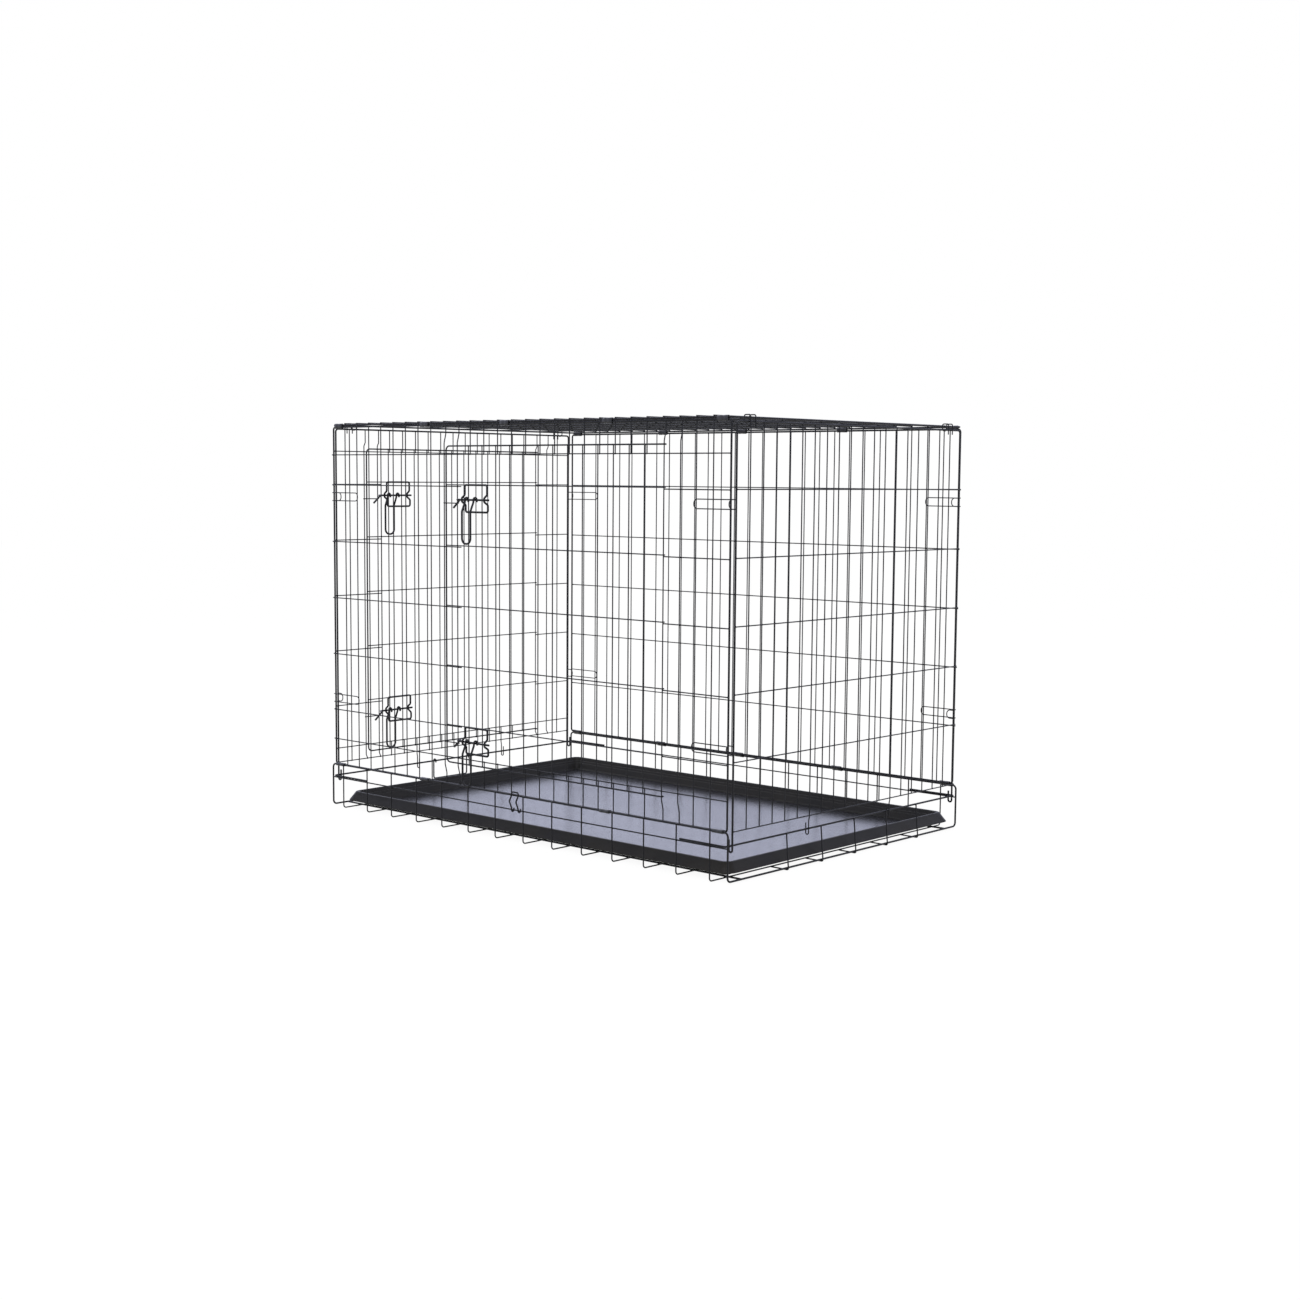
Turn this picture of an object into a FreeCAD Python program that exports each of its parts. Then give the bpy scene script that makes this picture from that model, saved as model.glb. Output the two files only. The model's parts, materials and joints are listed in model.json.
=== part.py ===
"""Folding wire pet crate with a plastic tray, as a parametric document.

Millimetres. X runs along the crate (the left end at -X), Y from front (-Y) to back, Z up.
The origin is on the floor, under the middle of the base.
"""
import FreeCAD, Part
import math
import os
import Sketcher

Vector = FreeCAD.Vector

doc = FreeCAD.newDocument("PetCrate")
sheet = doc.addObject("Spreadsheet::Sheet", "Sizes")

# Driving dimensions: alias, value
SIZES = (
    # wire diameters
    ("wire_fine", 2.2),
    ("wire_frame", 3.6),
    ("wire_door", 3.0),
    ("wire_base", 3.6),
    ("wire_floor", 2.6),
    ("wire_side", 2.6),
    ("wire_latch", 4.0),
    ("wire_loop", 2.0),
    ("wire_clasp", 3.0),
    # clearances
    ("weld_gap", 0.02),
    ("running_gap", 0.3),
    ("hinge_gap", 0.65),
    ("panel_clearance", 0.95),
    ("end_clearance", 5.4),
    ("end_top_clearance", 3.65),
    # base
    ("base_length", 1086.0),
    ("base_width", 714.5),
    ("rail_height", 91.0),
    ("base_bend", 8.0),
    ("floor_wire_inset", 38.0),
    ("floor_wire_count", 14),
    ("floor_bend", 6.0),
    ("floor_rail_inset", 38.0),
    ("end_rail_height", 66.0),
    ("end_rail_inset", 5.0),
    ("end_rail_bend", 4.5),
    ("end_rail_leg", 105.0),
    ("end_post_count", 5),
    ("end_post_pitch", 102.5),
    ("end_post_shift", 14.0),
    # panels
    ("panel_height", 706.0),
    ("frame_bend", 6.0),
    ("side_spaces", 28),
    ("end_spaces", 19),
    ("cross_drop", 119.0),
    ("cross_pitch", 117.7),
    ("cross_count", 5),
    ("end_cross_drop", 118.0),
    ("end_cross_pitch", 116.75),
    ("top_cross_pitch", 117.7),
    ("top_cross_count", 5),
    ("end_bottom_rise", 25.5),
    ("hook_tail", 11.0),
    ("hook_drop", 7.0),
    ("hook_space", 6),
    ("hook_bend", 3.0),
    # doorways: spaces are counted from the panel's left or front edge
    ("front_door_first", 9),
    ("front_door_spaces", 15),
    ("front_doorway_drop", 57.0),
    ("front_doorway_rise", 54.0),
    ("front_lap_top", 16.0),
    ("front_lap_bottom", 9.0),
    ("front_door_shift", 6.0),
    ("front_door_lift", 3.0),
    ("left_door_first", 2),
    ("left_door_spaces", 14),
    ("left_doorway_drop", 46.0),
    ("left_doorway_rise", 30.0),
    ("left_lap_top", 6.0),
    ("left_lap_bottom", 16.0),
    ("left_door_shift", 6.0),
    ("left_door_lift", 5.0),
    ("front_jog_run", 18.0),
    ("left_jog_run", 7.0),
    ("jog_margin", 4.5),
    ("jog_bend", 3.0),
    ("post_tail", 8.0),
    # doors and latches
    ("door_edge_offset", 9.0),
    ("door_bend", 9.0),
    ("eye_tail", 2.0),
    ("eye_shank", 6.5),
    ("bracket_start", 57.0),
    ("bracket_width", 63.0),
    ("bracket_drop", 28.5),
    ("bracket_rise", 23.5),
    ("bracket_bow", 9.5),
    ("bracket_flat", 7.0),
    ("bracket_bend", 4.0),
    ("rod_offset", 6.5),
    ("rod_tail", 8.0),
    ("bolt_slope_start", 38.5),
    ("bolt_slope_end", 30.5),
    ("bolt_tip", 12.0),
    ("bolt_tip_drop", 16.0),
    ("bolt_bend", 4.0),
    ("strike_drop", 7.0),
    ("strike_tail", 4.0),
    ("handle_inset", 9.0),
    ("handle_width", 24.0),
    ("handle_length", 84.0),
    ("handle_lean", 8.0),
    ("handle_lean_drop", 22.0),
    # corner fastenings
    ("loop_turn", 0.9),
    ("loop_drop", 143.5),
    ("loop_spacing", 422.0),
    ("loop_width", 16.5),
    ("loop_length", 82.0),
    ("corner_hook_length", 14.0),
    ("top_hook_inset", 39.0),
    ("top_hook_width", 14.0),
    ("top_hook_drop", 9.0),
    ("top_hook_bend", 3.0),
    # hinge clips
    ("clip_width", 24.0),
    ("clip_wall", 1.0),
    ("clip_gap", 0.35),
    ("clip_first_space", 0.47),
    ("clip_second_space", 7.5),
    # tray
    ("tray_end_gap", 16.5),
    ("tray_side_gap", 8.75),
    ("tray_shift", 11.0),
    ("tray_height", 27.5),
    ("tray_wall", 2.5),
    ("tray_draft", 8.0),
    ("tray_flare", 12.0),
    ("tray_rim", 5.0),
    ("tray_skirt_rise", 9.0),
    ("tray_corner", 22.0),
    ("tray_step", 4.0),
    ("tray_step_height", 12.0),
    # pan stop and fold clasp
    ("stop_centre", -30.0),
    ("stop_width", 98.0),
    ("stop_drop", 40.0),
    ("stop_bend", 5.0),
    ("clasp_centre", 17.0),
    ("clasp_width", 18.0),
    ("clasp_rise", 35.0),
    ("clasp_bow", 6.0),
    ("clasp_bend", 3.5),
)

for row_number, (alias, value) in enumerate(SIZES, start=1):
    sheet.set(f"A{row_number}", alias)
    sheet.set(f"B{row_number}", str(value))
    sheet.setAlias(f"B{row_number}", alias)
doc.recompute()

# Places worked out from the sheet, as expressions that features are bound to
BASE_X = "(Sizes.base_length / 2)"
BASE_Y = "(Sizes.base_width / 2)"
GROUND_Z = "(Sizes.wire_floor + Sizes.weld_gap + Sizes.wire_base / 2)"
FLOOR_WIRE_X = f"({BASE_X} - Sizes.floor_wire_inset)"
FLOOR_WIRE_Y = f"({BASE_Y} + (Sizes.wire_base + Sizes.wire_floor) / 2 + Sizes.weld_gap)"
SIDE_WIRE_Y = f"({FLOOR_WIRE_Y} - (Sizes.wire_floor + Sizes.wire_side) / 2 - Sizes.weld_gap)"
SIDE_WIRE_Z = "(Sizes.end_rail_height - (Sizes.wire_base + Sizes.wire_side) / 2 - Sizes.weld_gap)"
FLOOR_RAIL_Y = f"({BASE_Y} - Sizes.floor_rail_inset)"
BASE_INNER_X = f"({BASE_X} - Sizes.wire_base / 2 - Sizes.weld_gap)"
END_RAIL_X = f"({BASE_X} - Sizes.end_rail_inset)"

FRAME_HOOK = "((Sizes.wire_base + Sizes.wire_frame) / 2 + Sizes.running_gap)"
END_X = f"({END_RAIL_X} + {FRAME_HOOK})"
HINGE_STEP = "((Sizes.wire_base + Sizes.wire_frame) / 2 + Sizes.hinge_gap)"
PANEL_Y = f"({BASE_Y} - {HINGE_STEP})"
BACK_RAIL_Z = f"(Sizes.rail_height - {HINGE_STEP})"
END_Y = f"({PANEL_Y} - (Sizes.wire_base + Sizes.wire_frame) / 2 - Sizes.end_clearance)"
END_PITCH = f"(2 * {END_Y} / Sizes.end_spaces)"
SIDE_X = f"({END_X} - Sizes.wire_frame - Sizes.panel_clearance)"
SIDE_PITCH = f"(2 * {SIDE_X} / Sizes.side_spaces)"
SIDE_BOTTOM = "Sizes.rail_height"
SIDE_TOP = f"({SIDE_BOTTOM} + Sizes.panel_height)"
TOP_Z = f"({SIDE_TOP} + Sizes.wire_frame + Sizes.hinge_gap)"
END_TOP = f"({TOP_Z} - Sizes.wire_frame - Sizes.end_top_clearance)"
END_BOTTOM = "(Sizes.end_rail_height + Sizes.end_bottom_rise)"
CROSS_FIRST = f"({SIDE_TOP} - Sizes.cross_drop)"
CROSS_LOWEST = f"({CROSS_FIRST} - Sizes.cross_pitch * (Sizes.cross_count - 1))"
END_CROSS_FIRST = f"({SIDE_TOP} - Sizes.end_cross_drop)"
END_CROSS_LOWEST = f"({END_CROSS_FIRST} - Sizes.end_cross_pitch * (Sizes.cross_count - 1))"

# Layers of a panel, counted outward from the middle of its frame wire
CROSS_OUT = "((Sizes.wire_frame + Sizes.wire_fine) / 2 + Sizes.weld_gap)"
UPRIGHT_OUT = f"({CROSS_OUT} - Sizes.wire_fine - Sizes.weld_gap)"
POST_OUT = f"({CROSS_OUT} + Sizes.wire_fine + Sizes.weld_gap)"
LOOP_OUT = f"({UPRIGHT_OUT} + (Sizes.wire_fine + Sizes.wire_loop) / 2 + Sizes.weld_gap)"
FINE_EYE = "(Sizes.wire_fine + Sizes.running_gap)"
FRAME_EYE = "((Sizes.wire_fine + Sizes.wire_door) / 2 + Sizes.running_gap)"
DOOR_CROSS_OUT = f"({POST_OUT} + {FINE_EYE})"
DOOR_FRAME_OUT = f"({POST_OUT} + {FRAME_EYE})"
DOOR_UPRIGHT_OUT = f"({DOOR_CROSS_OUT} - Sizes.wire_fine - Sizes.weld_gap)"
BRACKET_TOP_OUT = f"({DOOR_CROSS_OUT} + (Sizes.wire_fine + Sizes.wire_latch) / 2 + Sizes.weld_gap)"
BRACKET_FOOT_OUT = f"({DOOR_UPRIGHT_OUT} + (Sizes.wire_fine + Sizes.wire_latch) / 2 + Sizes.weld_gap)"
ROD_OUT = f"({DOOR_CROSS_OUT} + Sizes.rod_offset)"
BOLT_TIP_OUT = f"({CROSS_OUT} - (Sizes.wire_fine + Sizes.wire_latch) / 2 - Sizes.running_gap)"

parts = []


def amount(expression):
    """Value of an expression on the sheet, in millimetres or as a count."""
    return float(sheet.evalExpression(expression))


def keep(obj, label):
    """Names a finished piece and lists it for export."""
    obj.Label = label
    parts.append(obj)
    return obj


# Straight wires: bodies with a round section, padded and repeated in a row

SECTION_PLANES = {"X": "YZ_Plane", "Y": "XZ_Plane", "Z": "XY_Plane"}


def origin_feature(body, role):
    """Plane or axis of a body's own origin."""
    return next(f for f in body.Origin.OriginFeatures if f.Role == role)


def attach(sketch, body, role, offset):
    """Lays a sketch on a plane of its body, moved by three expressions in the plane's own axes."""
    sketch.AttachmentSupport = [(origin_feature(body, role), "")]
    sketch.MapMode = "FlatFace"
    for axis, expression in zip("xyz", offset):
        sketch.setExpression(f"AttachmentOffset.Base.{axis}", expression)


def straight_row(body, name, along, diameter, start, length, step=None, span="0", count="1"):
    """Adds one row of parallel round wires to a body.

    start is the low end of the first wire; span is the distance from the first wire to the last.
    """
    x, y, z = start
    offset = {"X": (y, z, x), "Y": (x, z, f"-({y})"), "Z": (x, y, z)}[along]
    section = body.newObject("Sketcher::SketchObject", f"{name}_section")
    attach(section, body, SECTION_PLANES[along], offset)
    section.addGeometry(Part.Circle(Vector(0, 0, 0), Vector(0, 0, 1), 1.0), False)
    section.addConstraint(Sketcher.Constraint("Coincident", 0, 3, -1, 1))
    datum = section.addConstraint(Sketcher.Constraint("Diameter", 0, 2.0))
    section.renameConstraint(datum, "wire")
    section.setExpression("Constraints.wire", diameter)
    wire = body.newObject("PartDesign::Pad", f"{name}_wire")
    wire.Profile = section
    wire.setExpression("Length", length)
    wire.Reversed = along == "Y"
    body.Tip = wire
    if step and amount(count) > 1:
        pattern = body.newObject("PartDesign::LinearPattern", f"{name}_row")
        pattern.Originals = [wire]
        pattern.Direction = (origin_feature(body, f"{step}_Axis"), [""])
        pattern.setExpression("Length", span)
        pattern.setExpression("Occurrences", count)
        body.Tip = pattern


def wire_body(label):
    """An empty body that may hold several separate wires."""
    body = doc.addObject("PartDesign::Body", label)
    body.AllowCompound = True
    return keep(body, label)


# Bent wires: straight runs joined by tangent arcs, in space, so they are swept by Part

def bent_wire(points, bends, diameter, closed=False):
    """One round wire along a list of points, each corner turned with its bend radius."""
    count = len(points)
    radii = bends if isinstance(bends, list) else [bends] * count
    corners = range(count) if closed else range(1, count - 1)
    arcs = []
    for i in corners:
        here = points[i]
        back = (points[i - 1] - here).normalize()
        ahead = (points[(i + 1) % count] - here).normalize()
        half = back.getAngle(ahead) / 2
        reach = radii[i] / math.tan(half)
        middle = here + (back + ahead).normalize() * (radii[i] / math.sin(half) - radii[i])
        arcs.append((here + back * reach, middle, here + ahead * reach))
    cursor = arcs[-1][2] if closed else points[0]
    edges = []
    for enter, middle, leave in arcs:
        if cursor.distanceToPoint(enter) > Part.Precision.confusion() * 10:
            edges.append(Part.LineSegment(cursor, enter).toShape())
        edges.append(Part.Arc(enter, middle, leave).toShape())
        cursor = leave
    if not closed:
        edges.append(Part.LineSegment(cursor, points[-1]).toShape())
    path = Part.Wire(edges)
    first = edges[0]
    tangent = first.tangentAt(first.FirstParameter)
    section = Part.Wire([Part.makeCircle(diameter / 2, first.valueAt(first.FirstParameter), tangent)])
    solid = path.makePipeShell([section], True, False)
    expected = path.Length * math.pi * diameter ** 2 / 4
    if abs(solid.Volume - expected) > 0.01 * expected:
        raise ValueError(f"bent wire of {solid.Volume:.1f} mm3 should hold {expected:.1f} mm3")
    return solid


def bent_group(label, solids):
    """A node of bent wires, as one feature."""
    obj = doc.addObject("Part::Feature", label)
    obj.Shape = solids[0] if len(solids) == 1 else Part.makeCompound(solids)
    return keep(obj, label)


class Side:
    """Turns a panel's own directions, along, outward and up, into the crate's axes."""

    def __init__(self, name, plane, to_axes):
        self.name = name
        self.plane = plane
        self.depth = amount(plane)
        self.to_axes = to_axes

    def at(self, along, out, height):
        """A point, from three numbers."""
        sign, order = self.to_axes
        own = (along, sign * (self.depth + out), height)
        return Vector(*(own[i] for i in order))

    def place(self, along, out, height):
        """The same point as three expressions, for a body's sketch."""
        sign, order = self.to_axes
        own = (along, f"({sign} * ({self.plane} + {out}))", height)
        return tuple(own[i] for i in order)


FRONT = Side("front", PANEL_Y, (-1, (0, 1, 2)))
BACK = Side("back", PANEL_Y, (1, (0, 1, 2)))
LEFT = Side("left", END_X, (-1, (1, 0, 2)))
RIGHT = Side("right", END_X, (1, (1, 0, 2)))


# Base

def build_base():
    """Base frame wire, floor wires, rails and posts."""
    x, y = amount(BASE_X), amount(BASE_Y)
    front, back, ground = amount("Sizes.rail_height"), amount(BACK_RAIL_Z), amount(GROUND_Z)
    loop = []
    for sx, sy, levels in ((1, -1, (front, ground)), (1, 1, (ground, back)),
                           (-1, 1, (back, ground)), (-1, -1, (ground, front))):
        loop += [Vector(sx * x, sy * y, level) for level in levels]
    bend = amount("Sizes.base_bend")
    bent_group("base_frame_wire", [bent_wire(loop, bend, amount("Sizes.wire_base"), closed=True)])

    wall, floor = amount(FLOOR_WIRE_Y), amount("Sizes.wire_floor / 2")
    reach = amount("Sizes.wire_base / 2")
    first = amount(FLOOR_WIRE_X)
    count = int(amount("Sizes.floor_wire_count"))
    floor_bend, floor_wire = amount("Sizes.floor_bend"), amount("Sizes.wire_floor")
    floor_wires = []
    for i in range(count):
        across = -first + 2 * first * i / (count - 1)
        corners = ((-wall, front + reach), (-wall, floor), (wall, floor), (wall, back + reach))
        floor_wires.append(bent_wire([Vector(across, py, pz) for py, pz in corners], floor_bend, floor_wire))
    bent_group("base_floor_wires", floor_wires)

    inner = f"2 * {BASE_INNER_X}"
    straight_row(wire_body("base_side_wires"), "side", "X", "Sizes.wire_side",
                 (f"-{BASE_INNER_X}", f"-{SIDE_WIRE_Y}", SIDE_WIRE_Z), inner, "Y", f"2 * {SIDE_WIRE_Y}", "2")
    straight_row(wire_body("base_floor_rails"), "rail", "X", "Sizes.wire_base",
                 (f"-{BASE_INNER_X}", f"-{FLOOR_RAIL_Y}", GROUND_Z), inner, "Y", f"2 * {FLOOR_RAIL_Y}", "2")

    rail_x, rail_z = amount(END_RAIL_X), amount("Sizes.end_rail_height")
    leg_x = amount(f"{END_RAIL_X} - Sizes.end_rail_leg")
    for label, sign in (("left_end_rail", -1), ("right_end_rail", 1)):
        corners = ((leg_x, -y), (rail_x, -y), (rail_x, y), (leg_x, y))
        path = [Vector(sign * px, py, rail_z) for px, py in corners]
        bent_group(label, [bent_wire(path, amount("Sizes.end_rail_bend"), amount("Sizes.wire_base"))])

    outside = amount("(Sizes.wire_base + Sizes.wire_floor) / 2 + Sizes.weld_gap")
    heel_x = x + outside + amount("Sizes.running_gap")
    foot_x = amount(f"{FLOOR_WIRE_X} + Sizes.wire_floor / 2 + Sizes.weld_gap")
    half_wire = amount("Sizes.wire_base / 2")
    corners = ((rail_x + outside, rail_z + half_wire), (rail_x + outside, rail_z - 2 * half_wire),
               (heel_x, floor), (foot_x, floor))
    posts = []
    for i in range(int(amount("Sizes.end_post_count"))):
        py = amount(f"({i} - (Sizes.end_post_count - 1) / 2) * Sizes.end_post_pitch + Sizes.end_post_shift")
        path = [Vector(px, py, pz) for px, pz in corners]
        posts.append(bent_wire(path, outside, floor_wire))
    bent_group("right_end_posts", posts)


# Hinge clips: a strap of sheet metal wrapped round two parallel wires

def slot_outline(sketch, first_geometry, name, radius, run, rise):
    """Adds a slot, two arcs and two lines, to a sketch: from its origin to a place run across and rise up."""
    reach = amount(radius)
    near, far = Vector(0, 0, 0), Vector(amount(run), amount(rise), 0)
    wide = Vector(far.y, -far.x, 0).normalize() * reach
    turn = math.atan2(wide.y, wide.x)
    axis = Vector(0, 0, 1)
    arc = Part.ArcOfCircle
    sketch.addGeometry(arc(Part.Circle(near, axis, reach), turn + math.pi, turn + 2 * math.pi), False)
    sketch.addGeometry(arc(Part.Circle(far, axis, reach), turn, turn + math.pi), False)
    sketch.addGeometry(Part.LineSegment(near + wide, far + wide), False)
    sketch.addGeometry(Part.LineSegment(far - wide, near - wide), False)
    g = first_geometry
    for a, b in ((g, g + 2), (g + 2, g + 1), (g + 1, g + 3), (g + 3, g)):
        sketch.addConstraint(Sketcher.Constraint("Tangent", a, 2, b, 1))
    sketch.addConstraint(Sketcher.Constraint("Coincident", g, 3, -1, 1))
    datum = sketch.addConstraint(Sketcher.Constraint("Radius", g, reach))
    sketch.renameConstraint(datum, name)
    sketch.setExpression(f"Constraints.{name}", radius)
    origin, end = (-1, 1), (g + 1, 3)
    for kind, label, size, axis_line in (("DistanceX", "run", run, -2), ("DistanceY", "rise", rise, -1)):
        if amount(size) == 0:
            sketch.addConstraint(Sketcher.Constraint("PointOnObject", *end, axis_line))
            continue
        falls = amount(size) < 0
        points = end + origin if falls else origin + end
        datum = sketch.addConstraint(Sketcher.Constraint(kind, *points, abs(amount(size))))
        sketch.renameConstraint(datum, f"{name}_{label}")
        sketch.setExpression(f"Constraints.{name}_{label}", f"-{size}" if falls else size)


def clip_row(label, across, height, run, rise, with_middle):
    """Clips along one long edge, each round the two hinge wires there."""
    body = wire_body(label)
    first = f"({SIDE_X} - Sizes.clip_first_space * {SIDE_PITCH})"
    second = f"({SIDE_X} - Sizes.clip_second_space * {SIDE_PITCH})"
    places = [f"-{first}", f"-{second}", second, first]
    if with_middle:
        places.append(f"-{SIDE_PITCH} / 2")
    inner = "(Sizes.wire_frame / 2 + Sizes.clip_gap)"
    for i, place in enumerate(places):
        section = body.newObject("Sketcher::SketchObject", f"strap_{i}_section")
        attach(section, body, "YZ_Plane", (across, height, f"{place} - Sizes.clip_width / 2"))
        slot_outline(section, 0, "outside", f"{inner} + Sizes.clip_wall", run, rise)
        slot_outline(section, 4, "inside", inner, run, rise)
        strap = body.newObject("PartDesign::Pad", f"strap_{i}")
        strap.Profile = section
        strap.setExpression("Length", "Sizes.clip_width")
        body.Tip = strap


def build_clips():
    """Hinge clips on the four long edges.

    The front panel folds inward, so its lowest bar lies inside the base's rail. The back panel folds
    outward over the rail, which lies lower there. The top panel's frame lies over their highest bars.
    """
    rail, step = "Sizes.rail_height", f"({TOP_Z} - {SIDE_TOP})"
    clip_row("front_base_clips", f"-{BASE_Y}", rail, HINGE_STEP, "0", False)
    clip_row("back_base_clips", PANEL_Y, rail, HINGE_STEP, f"(-{HINGE_STEP})", True)
    clip_row("front_top_clips", f"-{PANEL_Y}", SIDE_TOP, "0", step, True)
    clip_row("back_top_clips", PANEL_Y, SIDE_TOP, "0", step, True)


# Panels

def rectangle_frame(label, corners, bend):
    """Closed frame wire with rounded corners."""
    return bent_group(label, [bent_wire(corners, bend, amount("Sizes.wire_frame"), closed=True)])


def build_side_frame(side):
    """Frame wire of the front or back panel."""
    x, low, high = amount(SIDE_X), amount(SIDE_BOTTOM), amount(SIDE_TOP)
    corners = [side.at(px, 0, pz) for px, pz in ((-x, low), (x, low), (x, high), (-x, high))]
    rectangle_frame(f"{side.name}_frame", corners, amount("Sizes.frame_bend"))


def hairpin(side, out, tip, end, middle, width):
    """A long narrow U of thin wire lying along a panel, closed at its tip."""
    half = width / 2
    path = [side.at(end, out, middle + half), side.at(tip, out, middle + half),
            side.at(tip, out, middle - half), side.at(end, out, middle - half)]
    return bent_wire(path, half * amount("Sizes.loop_turn"), amount("Sizes.wire_loop"))


def fastening_levels():
    """Heights of the corner fastenings, upper and lower."""
    upper = amount(f"{SIDE_TOP} - Sizes.loop_drop")
    return upper, upper - amount("Sizes.loop_spacing")


def build_spring_loops(side):
    """Spring loops welded on a side panel at its four corners."""
    end = amount(f"{SIDE_X} + Sizes.wire_frame / 2")
    tip = end - amount("Sizes.loop_length")
    out, width = amount(LOOP_OUT), amount("Sizes.loop_width")
    loops = [hairpin(side, out, sign * tip, sign * end, level, width)
             for sign in (-1, 1) for level in fastening_levels()]
    bent_group(f"{side.name}_spring_loops", loops)


UPRIGHT_LOW = f"({SIDE_BOTTOM} + Sizes.wire_frame / 2 + Sizes.weld_gap)"
UPRIGHT_HIGH = f"({SIDE_TOP} - Sizes.wire_frame / 2 - Sizes.weld_gap)"


def upright_row(body, name, side, place, count, low, high, pitch):
    """A row of uprights on a panel, from the space numbered place."""
    half = SIDE_X if side in (FRONT, BACK) else END_Y
    step = "X" if side in (FRONT, BACK) else "Y"
    start = side.place(f"(-{half} + {pitch} * {place})", UPRIGHT_OUT, low)
    straight_row(body, name, "Z", "Sizes.wire_fine", start, f"{high} - {low}", step,
                 f"{pitch} * ({count} - 1)", count)


def cross_row(body, name, side, low_end, high_end, first, count="1", pitch="0"):
    """Cross wires on a panel, the lowest at height first, one pitch apart."""
    start = side.place(low_end, CROSS_OUT, first)
    along = "X" if side in (FRONT, BACK) else "Y"
    straight_row(body, name, along, "Sizes.wire_fine", start, f"{high_end} - {low_end}", "Z",
                 f"{pitch} * ({count} - 1)", count)


SIDE_EDGE = f"({SIDE_X} + Sizes.wire_frame / 2)"
END_EDGE = f"({END_Y} + Sizes.wire_frame / 2)"


class Doorway:
    """The places of a doorway in a panel, as expressions."""

    def __init__(self, side, half, pitch, spaces, bottom, top, cross_lowest, cross_pitch):
        named = f"Sizes.{side.name}"
        self.side = side
        self.half = half
        self.pitch = pitch
        self.spaces = spaces
        self.first = f"{named}_door_first"
        self.wide = f"{named}_door_spaces"
        self.last = f"({self.first} + {self.wide})"
        self.shift = f"{named}_door_shift"
        self.jog = f"{named}_jog_run"
        self.low = f"({bottom} + {named}_doorway_rise)"
        self.high = f"({top} - {named}_doorway_drop)"
        self.door_low = f"({self.low} - {named}_lap_bottom)"
        self.door_high = f"({self.high} + {named}_lap_top)"
        self.cross_lowest = cross_lowest
        self.cross_pitch = cross_pitch
        self.door_cross = f"({cross_lowest} + {named}_door_lift)"
        self.edge = f"({self.post(self.first)} + Sizes.door_edge_offset)"
        self.hinge = self.post(self.last)
        self.inner_post = self.post(f"{self.first} + 1")

    def post(self, space):
        """Place of a post of the doorway, from the number of its space."""
        return f"(-{self.half} + {self.pitch} * ({space}) + {self.shift})"


FRONT_DOORWAY = Doorway(FRONT, SIDE_X, SIDE_PITCH, "Sizes.side_spaces", SIDE_BOTTOM, SIDE_TOP,
                        CROSS_LOWEST, "Sizes.cross_pitch")
LEFT_DOORWAY = Doorway(LEFT, END_Y, END_PITCH, "Sizes.end_spaces", END_BOTTOM, END_TOP,
                       END_CROSS_LOWEST, "Sizes.end_cross_pitch")


def build_doorway_posts(doorway, low, high):
    """Four uprights beside a doorway, jogged outward over the cross wires along the door's height."""
    side = doorway.side
    near, far = amount(UPRIGHT_OUT), amount(POST_OUT)
    margin, run = amount("Sizes.jog_margin"), amount(doorway.jog)
    eye = amount("Sizes.wire_door / 2")
    out_low = amount(doorway.door_low) - eye - margin
    out_high = amount(doorway.door_high) + eye + margin
    posts = []
    for space in (doorway.first, f"{doorway.first} + 1", doorway.last, f"{doorway.last} + 1"):
        along = amount(doorway.post(space))
        path = [side.at(along, out, height) for out, height in (
            (near, low), (near, out_low - run), (far, out_low),
            (far, out_high), (near, out_high + run), (near, high))]
        posts.append(bent_wire(path, amount("Sizes.jog_bend"), amount("Sizes.wire_fine")))
    bent_group(f"{side.name}_doorway_posts", posts)


def latch_levels(doorway):
    """Heights of the door's two bolts: each bracket hangs from a cross wire of the door."""
    low = f"({doorway.door_cross} - Sizes.bracket_drop)"
    return [("upper", f"({low} + {doorway.cross_pitch} * (Sizes.cross_count - 1))"), ("lower", low)]


def build_strikes(doorway):
    """Short wires across the two posts that the bolts hook behind."""
    body = wire_body(f"{doorway.side.name}_strikes")
    low_end = f"({doorway.edge} - Sizes.door_edge_offset - Sizes.strike_tail)"
    high_end = f"({doorway.inner_post} + Sizes.wire_fine / 2)"
    for name, level in latch_levels(doorway):
        cross_row(body, name, doorway.side, low_end, high_end, f"({level} - Sizes.strike_drop)")


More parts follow.
